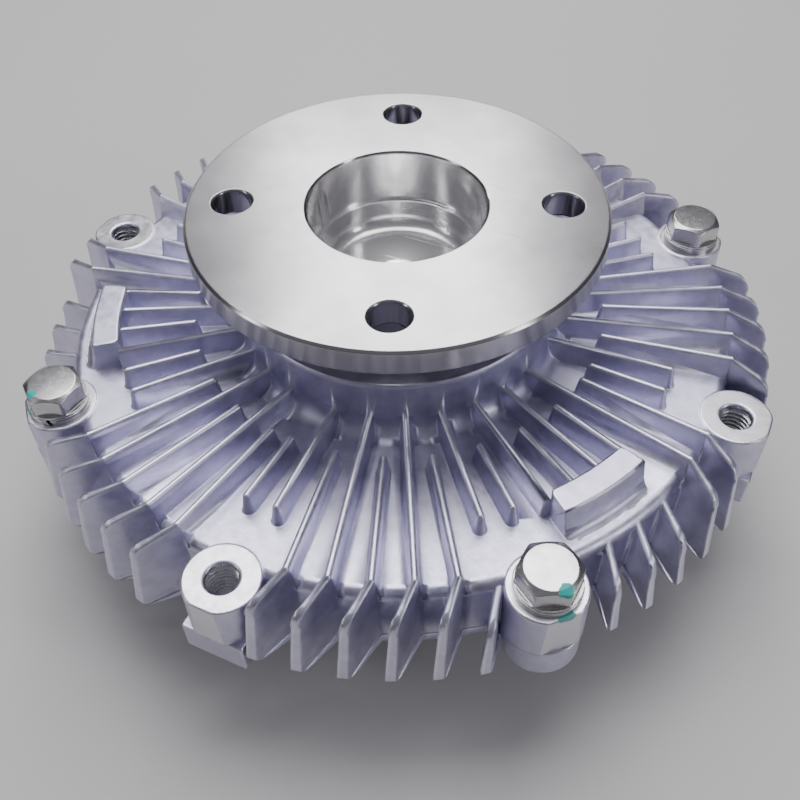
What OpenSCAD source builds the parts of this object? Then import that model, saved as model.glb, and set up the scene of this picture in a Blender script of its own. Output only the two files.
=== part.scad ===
// Viscous fan clutch, standing on its front cover with the mounting flange up.
// The origin is the centre of the flange's mounting face, and Z points out of that face.
// The ribbed housing and cover turn with the fan, and the flanged hub turns with the engine.

/* [Mounting flange] */
// Outer diameter of the flange
flange_d = 96; // [92:0.5:108]
// Thickness of the flange
flange_t = 6.4; // [5:0.2:9]
// Bevel on the flange's outer edges
flange_edge = 0.6; // [0.2:0.1:1.2]
// Diameter of the circle of stud holes
stud_circle_d = 75; // [72:0.5:80]
// Number of stud holes
stud_count = 4; // [3:1:6]
// Diameter of the stud holes
stud_hole_d = 9; // [6.5:0.1:10]
// Bevel at the mouths of the stud holes
stud_hole_bevel = 0.4; // [0.2:0.1:0.8]
// Angle of the first stud hole with the hub at rest
stud_turn = 22.7; // [0:0.1:89]
// Diameter of the pilot recess
pilot_d = 40.6; // [36:0.2:42]
// Depth of the pilot recess
pilot_depth = 13.2; // [8:0.2:14]
// Bevel at the mouth of the pilot recess
pilot_bevel = 0.7; // [0.3:0.1:1.5]
// Radial step below the pilot recess
relief_step = 1.1; // [0.5:0.1:3]
// Depth of the relief below the pilot recess
relief_depth = 7.3; // [5:0.1:9]
// Fillet round the floor of the relief
relief_round = 3.8; // [2:0.1:4.5]
// Diameter of the turning centre in the floor
centre_d = 11; // [6:0.5:14]
// Depth of the turning centre
centre_depth = 2.7; // [1.5:0.1:3.5]

/* [Neck and shaft] */
// Diameter of the neck under the flange
neck_d = 54; // [50:0.5:56]
// Fillet between the flange and the neck
neck_fillet = 2.5; // [1:0.1:3]
// Clear height for the stud nuts between flange and housing
nut_space = 13.5; // [11:0.5:18]
// Height of the taper from the neck to the bearing shoulder
neck_taper = 3.3; // [2:0.1:5]
// Diameter of the rotor seat at the end of the shaft
rotor_seat_d = 24; // [20:0.5:27]
// Bevel at the end of the shaft
shaft_bevel = 0.5; // [0.3:0.1:1]

/* [Bearing] */
// Bore of the bearing
bearing_bore = 30; // [28:0.5:32]
// Outer diameter of the bearing
bearing_od = 62; // [61:0.5:65]
// Width of the bearing
bearing_w = 16; // [15:0.5:19]
// Diameter of the balls
ball_d = 9.5; // [8:0.1:10]
// Number of balls
ball_count = 9; // [7:1:11]
// Radial thickness of the ring shoulders
ring_land = 3.9; // [3.4:0.1:4.2]
// Bevel on the fitted corners of the rings
ring_edge = 0.8; // [0.4:0.1:1.2]
// Bevel on the corners of the rings towards the balls
ring_inner_edge = 0.3; // [0.1:0.1:0.5]
// Clearance between a ball and what surrounds it
ball_gap = 0.2; // [0.1:0.05:0.3]
// Radial thickness of the ball cage
cage_t = 2.6; // [2:0.1:3]
// Height of the cage's rims above and below the balls
cage_rim = 0.55; // [0.4:0.05:0.8]
// Thickness of the bearing seals
seal_t = 1.2; // [0.8:0.1:1.4]
// Depth of the seals below the faces of the rings
seal_inset = 0.5; // [0.3:0.1:0.7]
// Running clearance at the lip of a seal
seal_gap = 0.25; // [0.1:0.05:0.4]
// How far the shoulders on the shaft stay inside the inner ring
shoulder_inset = 0.3; // [0.1:0.1:1]
// Thickness of the retaining rings
clip_t = 1.4; // [1:0.1:1.8]
// Depth of the retaining ring's groove in the housing
clip_groove = 1.6; // [1:0.1:2]
// Depth of the retaining ring's groove in the shaft
shaft_groove = 0.8; // [0.6:0.1:1.2]
// Radial width of the retaining rings
clip_w = 3; // [2.4:0.1:3.4]
// Clearance of a retaining ring in its groove
clip_gap = 0.1; // [0.05:0.05:0.2]
// Opening between the ends of a retaining ring in degrees
clip_opening = 40; // [20:1:60]

/* [Rear housing] */
// Diameter of the bearing hub
hub_d = 77; // [74:0.5:84]
// Bevel on the rim of the bearing hub
hub_edge = 0.8; // [0.3:0.1:1.5]
// Fillet at the foot of the bearing hub
hub_fillet = 4.8; // [2:0.1:6]
// Thickness of the lip above the bearing
lip_t = 4; // [3:0.1:5]
// Clearance round the neck in the lip
neck_gap = 1.5; // [0.5:0.1:2]
// Drop from the top of the hub to the ribbed plate
plate_drop = 14.25; // [11:0.25:17]
// Thickness of the ribbed plate
plate_t = 4.5; // [3.5:0.1:6]
// Diameter of the rim
rim_d = 161.3; // [158:0.1:166]
// Rounding of the rim's upper edge
rim_round = 2.4; // [1:0.1:2.6]
// Height of the rim below the plate
rim_h = 15.3; // [14:0.1:18]
// Drop from the plate to the joint with the cover
joint_h = 11.85; // [11:0.05:13]
// Width of the joint face between the chamber and the skirt
joint_w = 5.55; // [4.5:0.05:7]
// Thickness of the skirt that overlaps the cover
skirt_t = 2.4; // [1.8:0.1:2.8]
// Clearance between the skirt and the cover
skirt_gap = 0.2; // [0.1:0.05:0.3]
// Wall round the bearing inside the chamber
bearing_wall = 5; // [4:0.1:6]

/* [Ribs] */
// Height of the ribs above the plate
rib_h = 5.5; // [4:0.1:6.5]
// Width of a rib at the plate
rib_root_w = 3.1; // [2.4:0.1:3.4]
// Width of a rib at its rounded top
rib_top_w = 1.6; // [1.2:0.1:2]
// Radius at which every second rib starts
rib_start_r = 50.4; // [46:0.1:56]
// Radius at which the ribs stop in front of the bosses
rib_stop_r = 67.4; // [62:0.1:70]

/* [Rim vanes] */
// Reach of the vanes beyond the rim
vane_reach = 11; // [9.5:0.1:12]
// How far inside the rim's edge the vanes turn off from the ribs
kink_inset = 0.2; // [0.1:0.1:2]
// Sweep of the vanes against the ribs in degrees
vane_sweep = 27; // [15:1:30]
// Fall of the vanes that carry on from ribs in degrees
vane_fall = 10; // [6:1:20]
// Fall of the vanes that start at the rim in degrees
low_vane_fall = 8; // [4:1:14]
// Slope of the vanes' sides in degrees
vane_draft = 1; // [0.6:0.1:2]
// Rounding of the outer upper corner of the vanes
vane_round = 4.5; // [2:0.1:5.5]
// Outward lean of the vanes' outer edge
vane_lean = 1.8; // [0.5:0.1:2.5]
// Bevel at the lower outer corner of the vanes
vane_foot = 0.9; // [0.4:0.1:1.5]

/* [Pads and bosses] */
// Number of pads on the plate
pad_count = 3; // [2:1:4]
// Inner radius of the pads
pad_inner_r = 67.9; // [66:0.1:70]
// Radial width of the pads at their feet
pad_w = 9.4; // [8:0.1:9.6]
// Radius of the hollow at the pads' outer feet
pad_hollow = 2.2; // [1:0.1:2.6]
// Angle that a pad covers in degrees
pad_span = 17.2; // [12:0.2:20]
// Height of the pads above the plate
pad_h = 7.35; // [5:0.05:9]
// Rounding of the pads' corners
pad_corner = 2; // [1:0.1:2.4]
// Slope of the pads' sides over their height
pad_draft = 0.7; // [0.3:0.1:1.2]
// Diameter of the circle of bosses
boss_circle_d = 168.2; // [166:0.2:172]
// Diameter of the fan bosses
fan_boss_d = 16.4; // [14:0.1:18]
// Diameter of the bolt bosses
bolt_boss_d = 17; // [16:0.1:18]
// Diameter to which the outer sides of the bosses are turned
boss_turn_d = 183.8; // [182:0.1:184.4]
// Widening of the bosses towards their feet
boss_draft = 0.4; // [0:0.1:1]
// Height of the machined boss faces above the plate
boss_rise = 0.25; // [0.1:0.05:0.6]
// Core diameter of the threaded holes for the fan
fan_thread_d = 6.65; // [5:0.05:7]
// Bevel at the mouths of the threaded holes
fan_thread_bevel = 0.9; // [0.4:0.1:1.4]

/* [Case bolts] */
// Diameter of the bolts
bolt_d = 8; // [6:0.5:9]
// Clearance round the bolts on each side
bolt_gap = 0.45; // [0.2:0.05:0.6]
// Width of the hexagon across its flats
hex_w = 12; // [10:0.5:13]
// Height of the hexagon
hex_h = 5; // [4:0.1:7]
// Width of the turned bevel inside the flats
hex_bevel = 0.3; // [0.1:0.1:0.6]
// Diameter of the round washer face under the hexagon
bolt_collar_d = 13.8; // [12:0.1:14.5]
// Thickness of the round washer face
bolt_collar_t = 0.5; // [0.3:0.1:1]
// Bevel at the end of the bolts
bolt_point = 0.6; // [0.3:0.1:1]
// Outer diameter of the spring washers
washer_d = 14.2; // [13:0.1:15.4]
// Thickness of the spring washers
washer_t = 1.6; // [1.2:0.1:2.4]
// Width of the slit in a spring washer
washer_slit = 1; // [0.6:0.1:1.6]
// Clearance between a screw thread and its tapped hole
thread_gap = 0.05; // [0.02:0.01:0.1]

/* [Rotor] */
// Clearance between the rotor and the walls of the chamber
rotor_gap = 0.8; // [0.5:0.1:1.2]
// Thickness of the rotor's outer web
rotor_web = 5.7; // [4:0.1:7]
// Thickness of the rotor's middle
rotor_mid = 4.4; // [3.5:0.1:6]
// Height of the labyrinth rings
land_h = 5.3; // [3:0.1:6.5]
// Width of a labyrinth ring
land_w = 2.2; // [1.5:0.1:2.4]
// Distance from ring to ring
land_pitch = 5.6; // [5.2:0.1:5.8]
// Distance from the separator plate's seat to the innermost ring
land_inset = 4.8; // [4:0.1:6]
// Diameter of the fluid holes through the rotor
rotor_hole_d = 6; // [4:0.5:8]

/* [Front cover] */
// Height of the cover's rim below the housing
cover_rim_h = 4; // [3:0.1:6]
// Bevel on the lower edge of the cover's rim
cover_rim_edge = 1.4; // [0.6:0.1:2.5]
// Thickness of the cover below the working chamber
cover_wall = 4.2; // [3.5:0.1:6]
// Drop of the lugs below the joint
lug_h = 8; // [6:0.1:10]
// Width of the flat lugs under the fan bosses
lug_w = 14.5; // [12:0.5:17]
// How far the flat lugs stay inside the fan bosses' outer edge
lug_inset = 0.8; // [0:0.1:2]
// Number of fins on the cover
cover_fins = 48; // [24:1:52]
// Thickness of the cover's fins
cover_fin_t = 2.6; // [2:0.1:3.4]
// Distance from the separator plate's seat to the fins
cover_fin_inset = 1; // [0.5:0.1:3]
// How far the fins stay inside the bevel of the cover's rim
cover_fin_step = 0.5; // [0.3:0.1:1]
// Bevel at the inner lower corner of the fins
cover_fin_bevel = 3; // [1:0.5:5]
// Radius at which the fins' lower edges turn upward
cover_fin_turn_r = 64; // [56:0.5:70]
// How far the cover's gussets show beside the vanes above them
gusset_ledge = 0.25; // [0.1:0.05:0.5]
// How far the gussets stay inside the vanes' tips
gusset_inset = 0.6; // [0.3:0.1:1.5]
// Section of the sealing ring
seal_cord_d = 2.4; // [1.8:0.1:2.8]

/* [Reservoir and valve] */
// Diameter of the reservoir
reservoir_d = 70; // [62:0.5:72]
// Depth of the reservoir
reservoir_h = 8.5; // [7:0.1:12]
// Thickness of the separator plate
separator_t = 1.5; // [1:0.1:2]
// Clearance round the separator plate
separator_gap = 0.2; // [0.1:0.05:0.4]
// Diameter of the gate hole in the separator plate
gate_d = 7; // [5:0.5:8]
// Distance of the valve arm's end from the reservoir wall
gate_margin = 3; // [2:0.5:6]
// Thread diameter of the small screws
screw_d = 3; // [2.5:0.1:3.4]
// Head diameter of the small screws
screw_head_d = 4.6; // [4.2:0.1:5]
// Head height of the small screws
screw_head_h = 0.6; // [0.4:0.05:0.7]
// Slope of the sides of the small screws' heads
screw_head_draft = 0.2; // [0.1:0.05:0.4]
// Margin round the heads of the small screws
screw_margin = 0.4; // [0.2:0.1:1]
// Depth of the small screws in the cover
screw_grip = 3; // [2:0.1:3.2]
// Spare depth of the small screws' holes
screw_spare = 0.3; // [0.1:0.1:0.4]
// Diameter of the valve shaft
valve_shaft_d = 8; // [7:0.5:10]
// Running clearance of the valve shaft
valve_shaft_gap = 0.05; // [0.02:0.01:0.1]
// Wall of the boss round the valve shaft
valve_boss_wall = 5; // [4:0.1:6]
// Height of that boss in the reservoir
valve_boss_h = 4; // [2:0.1:5]
// Height of that boss in front of the cover
valve_nose = 1; // [0.5:0.1:1.4]
// Thickness of the valve arm
valve_arm_t = 1; // [0.8:0.1:1.4]
// Width of the valve arm
valve_arm_w = 10; // [9:0.5:13]
// Rim of the valve arm's eye round the shaft
valve_eye_w = 3; // [2:0.1:5]
// Clearance between the valve arm and the separator plate
valve_arm_gap = 0.3; // [0.2:0.05:0.5]
// Section of the ring that seals the valve shaft
shaft_cord_d = 2; // [1.5:0.1:2.4]
// Clearance above and below that ring in its groove
shaft_cord_gap = 0.2; // [0.1:0.05:0.4]

/* [Bimetal coil] */
// Thickness of the coil strip
coil_t = 1; // [0.6:0.1:1.4]
// Width of the coil strip
coil_w = 6; // [4:0.5:9]
// Gap between the cover and the coil
coil_gap = 2.2; // [1.5:0.1:3.5]
// Distance of the coil's innermost turn from the shaft
coil_clear = 3; // [2:0.1:4]
// Distance from turn to turn
coil_pitch = 3.4; // [2.6:0.1:4]
// Number of turns
coil_turns = 3; // [2:1:4]
// Height that the cover's fins stand beyond the coil
coil_guard = 3.8; // [2:0.1:6]
// How far the valve shaft stays inside the coil's edge
coil_inset = 0.5; // [0.2:0.1:1]
// Clearance between the coil and the parts it hooks into
coil_fit = 0.1; // [0.05:0.05:0.2]
// Distance from the outermost turn to the bracket
bracket_gap = 1.5; // [1:0.1:3]
// Thickness of the coil bracket
bracket_t = 1.5; // [1:0.1:2]
// Width of the coil bracket
bracket_w = 17; // [15.5:0.5:19]
// Width of the bracket's upright
bracket_tab_w = 8.5; // [6:0.5:10]
// Length of the bracket's foot
bracket_foot = 9; // [8:0.5:10]

/* [Hidden] */

$fn = 64;

// Overlap that joins shapes within one piece
bite = 1;
// How far cutting shapes reach past the faces that they cut
past = 1;
// Depth of the ribs' and pads' feet in the plate
rib_sink = 2;

// Heights from the flange face downward
z_under = -flange_t;
z_hub = z_under - nut_space;
z_bearing = z_hub - lip_t;
z_bearing_end = z_bearing - bearing_w;
z_ball = (z_bearing + z_bearing_end) / 2;
z_plate = z_hub - plate_drop;
z_boss = z_plate + boss_rise;
z_ceiling = z_plate - plate_t;
z_joint = z_plate - joint_h;
z_rim = z_plate - rim_h;
z_lug = z_joint - lug_h;
z_clip_end = z_bearing_end - clip_t - 2 * clip_gap;
z_seat_end = z_clip_end - clip_t;
z_rotor = z_ceiling - rotor_gap;
z_web_end = z_rotor - rotor_web;
z_land_end = z_web_end - land_h;
z_mid = z_seat_end - rotor_gap;
z_mid_end = min(z_mid - rotor_mid, z_web_end);
z_shaft_end = z_mid_end - 2 * clip_t - 2 * clip_gap;
z_floor = min(z_land_end, z_shaft_end, z_joint) - rotor_gap;
z_separator_end = z_floor - separator_t;
z_arm = z_separator_end - valve_arm_gap;
z_reservoir_end = z_separator_end - reservoir_h;
z_valve_boss = z_reservoir_end + valve_boss_h;
z_shaft_cord = z_reservoir_end - shaft_cord_d / 2;
z_front = z_reservoir_end - cover_wall;
z_cover_rim = min(z_rim - skirt_gap - cover_rim_h, z_floor - cover_rim_edge);
z_coil = z_front - coil_gap;
z_coil_end = z_coil - coil_w;
z_base = z_coil_end - coil_guard;

// Radii that several pieces share
rim_r = rim_d / 2;
boss_r = boss_circle_d / 2;
kink_r = rim_r - kink_inset;
tip_r = rim_r + vane_reach;
pitch_r = (bearing_bore + bearing_od) / 4;
inner_land_r = bearing_bore / 2 + ring_land;
outer_land_r = bearing_od / 2 - ring_land;
shoulder_r = inner_land_r - shoulder_inset;
bearing_boss_r = bearing_od / 2 + bearing_wall;
lip_r = neck_d / 2 + neck_gap;
spigot_r = rim_r - skirt_t - skirt_gap;
chamber_r = spigot_r - joint_w;
seal_r = (chamber_r + spigot_r) / 2;
rotor_r = chamber_r - rotor_gap;
rotor_mid_r = bearing_boss_r + rotor_gap;
separator_screw_r = reservoir_d / 2 + screw_margin + screw_head_d / 2;
separator_r = separator_screw_r + screw_head_d / 2;
separator_seat_r = separator_r + separator_gap;
land_first_r = separator_seat_r + land_inset;
land_count = floor((rotor_r - land_w / 2 - land_first_r) / land_pitch) + 1;
gate_r = reservoir_d / 2 - gate_margin - valve_arm_w / 2;
valve_r = valve_shaft_d / 2;
coil_start_r = valve_r + coil_clear;
coil_end_r = coil_start_r + coil_pitch * coil_turns;
bracket_r = coil_end_r + coil_t + bracket_gap;
bracket_screw_r = bracket_r + bracket_t + bracket_foot / 2;
bracket_screw_y = bracket_w / 2 - screw_margin - screw_head_d / 2;

// The rib pattern repeats in each quarter, between one fan boss and the next
quarters = 4;
ribs_per_quarter = 15;
last_rib = ribs_per_quarter - 1;
mid_rib = floor(ribs_per_quarter / 2);
rib_step = 90 / ribs_per_quarter;
bolt_angle = 45;
pad_first_angle = 90;
// Turns of the bolt heads, of the washers' slits and of the slits' slope
bolt_turn = 11;
washer_turn = 70;
slit_slope = 14;
// Slope of the turned bevel on the bolt heads
hex_slope = 30;

function rib_angle(q, i) = 90 * q + rib_step * (i + 0.5);
// Every second rib starts at the hub, apart from the last in the quarter
function rib_is_long(i) = i % 2 == 0 && i < last_rib;
// The first, the last and the middle ribs stop in front of a boss
function stops_at_boss(i) = i == 0 || i == last_rib || abs(i - mid_rib) < 2;
// The middle two places next to the bolt boss carry no vane, nor do the first and the last
function has_vane(i) = i > 0 && i < last_rib && i != mid_rib && i != mid_rib + 1;
// Degrees from the middle of the nearest pad
function pad_offset(a) =
  let (pad_step = 360 / pad_count)
  abs((a - pad_first_angle + 360 + pad_step / 2) % pad_step - pad_step / 2);
function stops_at_pad(a) = pad_offset(a) < pad_span / 2 + rib_step / 10;

// Points along an arc about c
function arc(c, r, a0, a1, n) =
  [for (i = [0:n]) let (a = a0 + (a1 - a0) * i / n) c + r * [cos(a), sin(a)]];
// Points along a spiral about the axis, n to a turn
function spiral(r0, pitch, turns, n) =
  [for (i = [0:n * turns]) (r0 + pitch * i / n) * [cos(360 * i / n), sin(360 * i / n)]];
// Point at a radius and an angle
function polar(r, a) = r * [cos(a), sin(a)];

module at_angles(first, count) {
  for (i = [0:count - 1])
    rotate(first + 360 * i / count)
      children();
}

module disc(z_top, z_low, r) {
  translate([0, 0, z_low])
    cylinder(h = z_top - z_low, r = r);
}

module tube(z_top, z_low, r_out, r_in) {
  difference() {
    disc(z_top, z_low, r_out);
    disc(z_top + past, z_low - past, r_in);
  }
}

// Ring that fills the corner between a wall of radius r and a face at height z
module corner_fillet(r, z, size, above) {
  translate([0, 0, z])
    mirror([0, 0, above ? 0 : 1])
      rotate_extrude()
        translate([r - bite, -bite])
          difference() {
            square(size + bite);
            translate([size + bite, size + bite])
              circle(size);
          }
}

// Cross-section of a cast rib with sloping sides and a round top, standing on the X axis
module rib_section(root_w, top_w, h) {
  shoulder = h - top_w / 2;
  polygon([[-root_w / 2, 0], [root_w / 2, 0], [top_w / 2, shoulder], [-top_w / 2, shoulder]]);
  translate([0, shoulder])
    circle(d = top_w);
}

// Straight rib along X, with its foot at height z
module rib_run(x0, x1, z, root_w, top_w, h) {
  translate([x0, 0, z])
    rotate([90, 0, 90])
      linear_extrude(x1 - x0)
        rib_section(root_w, top_w, h);
}

// Rounded end of a rib
module rib_end(x, z, root_w, top_w, h) {
  shoulder = h - top_w / 2;
  translate([x, 0, z]) {
    cylinder(h = shoulder, d1 = root_w, d2 = top_w);
    translate([0, 0, shoulder])
      sphere(d = top_w);
  }
}

// One rib on the plate, between the hub and the rim, a boss or a pad
module plate_rib(i, at_pad) {
  x0 = rib_is_long(i) ? hub_d / 2 - bite : rib_start_r;
  kink_end = kink_r + rib_top_w / 2 * tan(vane_sweep / 2);
  x1 = at_pad ? pad_inner_r + bite : stops_at_boss(i) ? rib_stop_r : kink_end;
  z = z_plate - rib_sink;
  h = rib_h + rib_sink;
  root_w = rib_top_w + (rib_root_w - rib_top_w) * h / rib_h;
  rib_run(x0, x1, z, root_w, rib_top_w, h);
  if (!rib_is_long(i))
    rib_end(x0, z, root_w, rib_top_w, h);
  if (stops_at_boss(i) && !at_pad)
    rib_end(x1, z, root_w, rib_top_w, h);
}

module plate_ribs() {
  for (q = [0:quarters - 1], i = [0:last_rib]) {
    a = rib_angle(q, i);
    rotate(a)
      plate_rib(i, stops_at_pad(a));
  }
}

// Space that the swept vanes fill, rounded where their tops meet their outer edges
module vane_space(z_top, fall) {
  top_slope = atan(tan(fall) / cos(vane_sweep));
  r = tip_r - vane_lean - vane_round;
  z = z_top - (r - kink_r) * tan(top_slope) - vane_round / cos(top_slope);
  rotate_extrude()
    polygon(concat(
      [[kink_r - bite, z_rim], [tip_r - vane_foot, z_rim], [tip_r, z_rim + vane_foot]],
      arc([r, z], vane_round, 0, 90 - top_slope, 5),
      [[kink_r - bite, z_top + 2 * bite]]
    ));
}

// Tall rib that falls outward from the kink at the rim
module vane_blank(z_top, fall) {
  h = z_top - z_rim + vane_reach;
  start = -rib_top_w / 2 * tan(vane_sweep / 2);
  root_w = rib_top_w + 2 * h * tan(vane_draft);
  translate([kink_r, 0, z_top])
    rotate([0, 0, -vane_sweep])
      rotate([0, fall, 0])
        rib_run(start, 2 * vane_reach, -h, root_w, rib_top_w, h);
}

// Vanes that carry on from ribs, or those that start at the rim
module vanes(from_rib) {
  fall = from_rib ? vane_fall : low_vane_fall;
  z_top = from_rib ? z_plate + rib_h : z_plate - rim_round / 2;
  intersection() {
    vane_space(z_top, fall);
    for (q = [0:quarters - 1], i = [0:last_rib]) {
      a = rib_angle(q, i);
      carried = !stops_at_boss(i) && !stops_at_pad(a);
      if (has_vane(i) && carried == from_rib)
        rotate(a)
          vane_blank(z_top, fall);
    }
  }
}

// Plan of a pad with rounded corners
module pad_plan() {
  r0 = pad_inner_r;
  r1 = pad_inner_r + pad_w;
  half = pad_span / 2;
  c = pad_corner;
  in_turn = half - asin(c / (r0 + c));
  out_turn = half - asin(c / (r1 - c));
  polygon(concat(
    arc([0, 0], r0, in_turn, -in_turn, 6),
    arc(polar(r0 + c, -in_turn), c, 180 - in_turn, 270 - half, 4),
    arc(polar(r1 - c, -out_turn), c, 270 - half, 360 - out_turn, 4),
    arc([0, 0], r1, -out_turn, out_turn, 6),
    arc(polar(r1 - c, out_turn), c, out_turn, 90 + half, 4),
    arc(polar(r0 + c, in_turn), c, 90 + half, 180 + in_turn, 4)
  ));
}

module pads() {
  z0 = z_plate - rib_sink;
  z1 = z_plate + pad_h;
  r0 = pad_inner_r;
  r1 = pad_inner_r + pad_w;
  r2 = r1 - pad_hollow;
  intersection() {
    at_angles(pad_first_angle, pad_count)
      translate([0, 0, z0])
        linear_extrude(z1 - z0)
          pad_plan();
    rotate_extrude()
      polygon(concat(
        [[r0, z0], [r1, z0]],
        arc([r1, z_plate + pad_hollow], pad_hollow, 270, 180, 6),
        [[r2 - pad_draft, z1 - pad_draft / 2], [r2 - 2 * pad_draft, z1]],
        [[r0 + pad_draft, z1], [r0, z1 - pad_draft]]
      ));
  }
}

// Boss from its machined face down to the joint
module boss(d) {
  translate([boss_r, 0, z_joint])
    cylinder(h = z_boss - z_joint, d1 = d + boss_draft, d2 = d);
}

module bosses() {
  intersection() {
    union() {
      at_angles(0, quarters)
        boss(fan_boss_d);
      at_angles(bolt_angle, quarters)
        boss(bolt_boss_d);
    }
    difference() {
      disc(z_boss + past, z_joint - past, boss_turn_d / 2);
      disc(z_ceiling, z_joint - 2 * past, chamber_r + bite);
    }
  }
}

module fan_thread() {
  r = fan_thread_d / 2;
  translate([boss_r, 0, 0]) {
    disc(z_boss + past, z_joint - past, r);
    translate([0, 0, z_boss - fan_thread_bevel])
      cylinder(h = fan_thread_bevel, r1 = r, r2 = r + fan_thread_bevel);
  }
}

module bolt_hole() {
  translate([boss_r, 0, 0])
    disc(z_boss + past, z_joint - past, bolt_d / 2 + bolt_gap);
}

// Flat-sided arm of the cover that reaches out below the joint
module lug_arm(w, r_out, gap) {
  translate([spigot_r - bite, -w / 2 - gap, z_lug])
    cube([r_out + gap - spigot_r + bite, w + 2 * gap, z_joint - z_lug]);
}

// Lugs of the cover that meet the bosses, grown by a clearance for the skirt's notches
module lugs(gap) {
  at_angles(bolt_angle, quarters) {
    lug_arm(bolt_boss_d, boss_r, gap);
    translate([boss_r, 0, 0])
      disc(z_joint, z_lug, bolt_boss_d / 2 + gap);
  }
  at_angles(0, quarters)
    lug_arm(lug_w, boss_r + fan_boss_d / 2 - lug_inset, gap);
}

// Revolved section of the housing: bearing hub, plate, rim and skirt
module housing_section() {
  hub_r = hub_d / 2;
  seat_r = bearing_od / 2;
  groove_r = seat_r + clip_groove;
  difference() {
    polygon([
      [lip_r, z_hub], [hub_r - hub_edge, z_hub], [hub_r, z_hub - hub_edge],
      [hub_r, z_plate], [rim_r, z_plate], [rim_r, z_rim],
      [rim_r - skirt_t, z_rim], [rim_r - skirt_t, z_joint], [chamber_r, z_joint],
      [chamber_r, z_ceiling], [bearing_boss_r, z_ceiling], [bearing_boss_r, z_seat_end],
      [seat_r, z_seat_end], [seat_r, z_clip_end], [groove_r, z_clip_end],
      [groove_r, z_bearing_end], [seat_r, z_bearing_end], [seat_r, z_bearing], [lip_r, z_bearing]
    ]);
    translate([rim_r - rim_round, z_plate - rim_round])
      difference() {
        square(rim_round + past);
        circle(rim_round);
      }
  }
}

module rear_housing() {
  color("gainsboro")
    difference() {
      union() {
        rotate_extrude()
          housing_section();
        corner_fillet(hub_d / 2, z_plate, hub_fillet, true);
        plate_ribs();
        vanes(true);
        vanes(false);
        pads();
        bosses();
      }
      at_angles(0, quarters)
        fan_thread();
      at_angles(bolt_angle, quarters)
        bolt_hole();
      lugs(skirt_gap);
    }
}

// Revolved section of the mounting flange, neck and shaft
module hub_section() {
  r = flange_d / 2;
  neck_r = neck_d / 2;
  pilot_r = pilot_d / 2;
  relief_r = pilot_r - relief_step;
  floor_r = relief_r - relief_round;
  z_pilot = -pilot_depth;
  z_relief = z_pilot - relief_depth;
  shaft_r = bearing_bore / 2;
  seat_r = rotor_seat_d / 2;
  groove_r = seat_r - shaft_groove;
  z_groove = z_mid_end - clip_t - 2 * clip_gap;
  difference() {
    polygon([
      [0, 0], [r - flange_edge, 0], [r, -flange_edge], [r, z_under + flange_edge],
      [r - flange_edge, z_under], [neck_r, z_under], [neck_r, z_bearing + neck_taper],
      [shoulder_r, z_bearing], [shaft_r, z_bearing], [shaft_r, z_bearing_end],
      [seat_r, z_bearing_end], [seat_r, z_mid_end], [groove_r, z_mid_end], [groove_r, z_groove],
      [seat_r, z_groove], [seat_r, z_shaft_end + shaft_bevel],
      [seat_r - shaft_bevel, z_shaft_end], [0, z_shaft_end]
    ]);
    polygon([
      [0, past], [pilot_r + pilot_bevel + past, past], [pilot_r, -pilot_bevel],
      [pilot_r, z_pilot], [relief_r, z_pilot], [relief_r, z_relief + relief_round],
      [floor_r, z_relief + relief_round], [floor_r, z_relief],
      [centre_d / 2, z_relief], [0, z_relief - centre_depth]
    ]);
    translate([floor_r, z_relief + relief_round])
      circle(relief_round);
  }
}

// Stud hole with both mouths bevelled
module stud_hole() {
  r = stud_hole_d / 2;
  translate([stud_circle_d / 2, 0, 0]) {
    disc(past, z_under - past, r);
    translate([0, 0, -stud_hole_bevel])
      cylinder(h = stud_hole_bevel, r1 = r, r2 = r + stud_hole_bevel);
    translate([0, 0, z_under])
      cylinder(h = stud_hole_bevel, r1 = r + stud_hole_bevel, r2 = r);
  }
}

module drive_hub() {
  color("silver")
    difference() {
      union() {
        rotate_extrude()
          hub_section();
        corner_fillet(neck_d / 2, z_under, neck_fillet, false);
      }
      at_angles(stud_turn, stud_count)
        stud_hole();
    }
}

// Revolved section of the front cover: rim, chamber, reservoir and shaft boss
module cover_section() {
  reservoir_r = reservoir_d / 2;
  bore_r = valve_r + valve_shaft_gap;
  boss_out_r = valve_r + valve_boss_wall;
  groove_r = valve_r + shaft_cord_d;
  groove_half = shaft_cord_d / 2 + shaft_cord_gap;
  cord_in = seal_r - seal_cord_d / 2;
  cord_out = seal_r + seal_cord_d / 2;
  z_cord = z_joint - seal_cord_d;
  z_top = z_rim - skirt_gap;
  z_skin = z_floor - cover_wall;
  polygon([
    [bore_r, z_valve_boss], [boss_out_r, z_valve_boss], [boss_out_r, z_reservoir_end],
    [reservoir_r, z_reservoir_end], [reservoir_r, z_separator_end],
    [separator_seat_r, z_separator_end], [separator_seat_r, z_floor],
    [chamber_r, z_floor], [chamber_r, z_joint], [cord_in, z_joint], [cord_in, z_cord],
    [cord_out, z_cord], [cord_out, z_joint], [spigot_r, z_joint], [spigot_r, z_top],
    [rim_r, z_top], [rim_r, z_cover_rim + cover_rim_edge], [rim_r - cover_rim_edge, z_cover_rim],
    [chamber_r, z_skin], [separator_seat_r + cover_wall, z_skin - cover_wall / 2],
    [separator_seat_r, z_front], [boss_out_r + valve_nose, z_front],
    [boss_out_r, z_front - valve_nose], [bore_r, z_front - valve_nose],
    [bore_r, z_shaft_cord - groove_half], [groove_r, z_shaft_cord - groove_half],
    [groove_r, z_shaft_cord + groove_half], [bore_r, z_shaft_cord + groove_half]
  ]);
}

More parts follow.
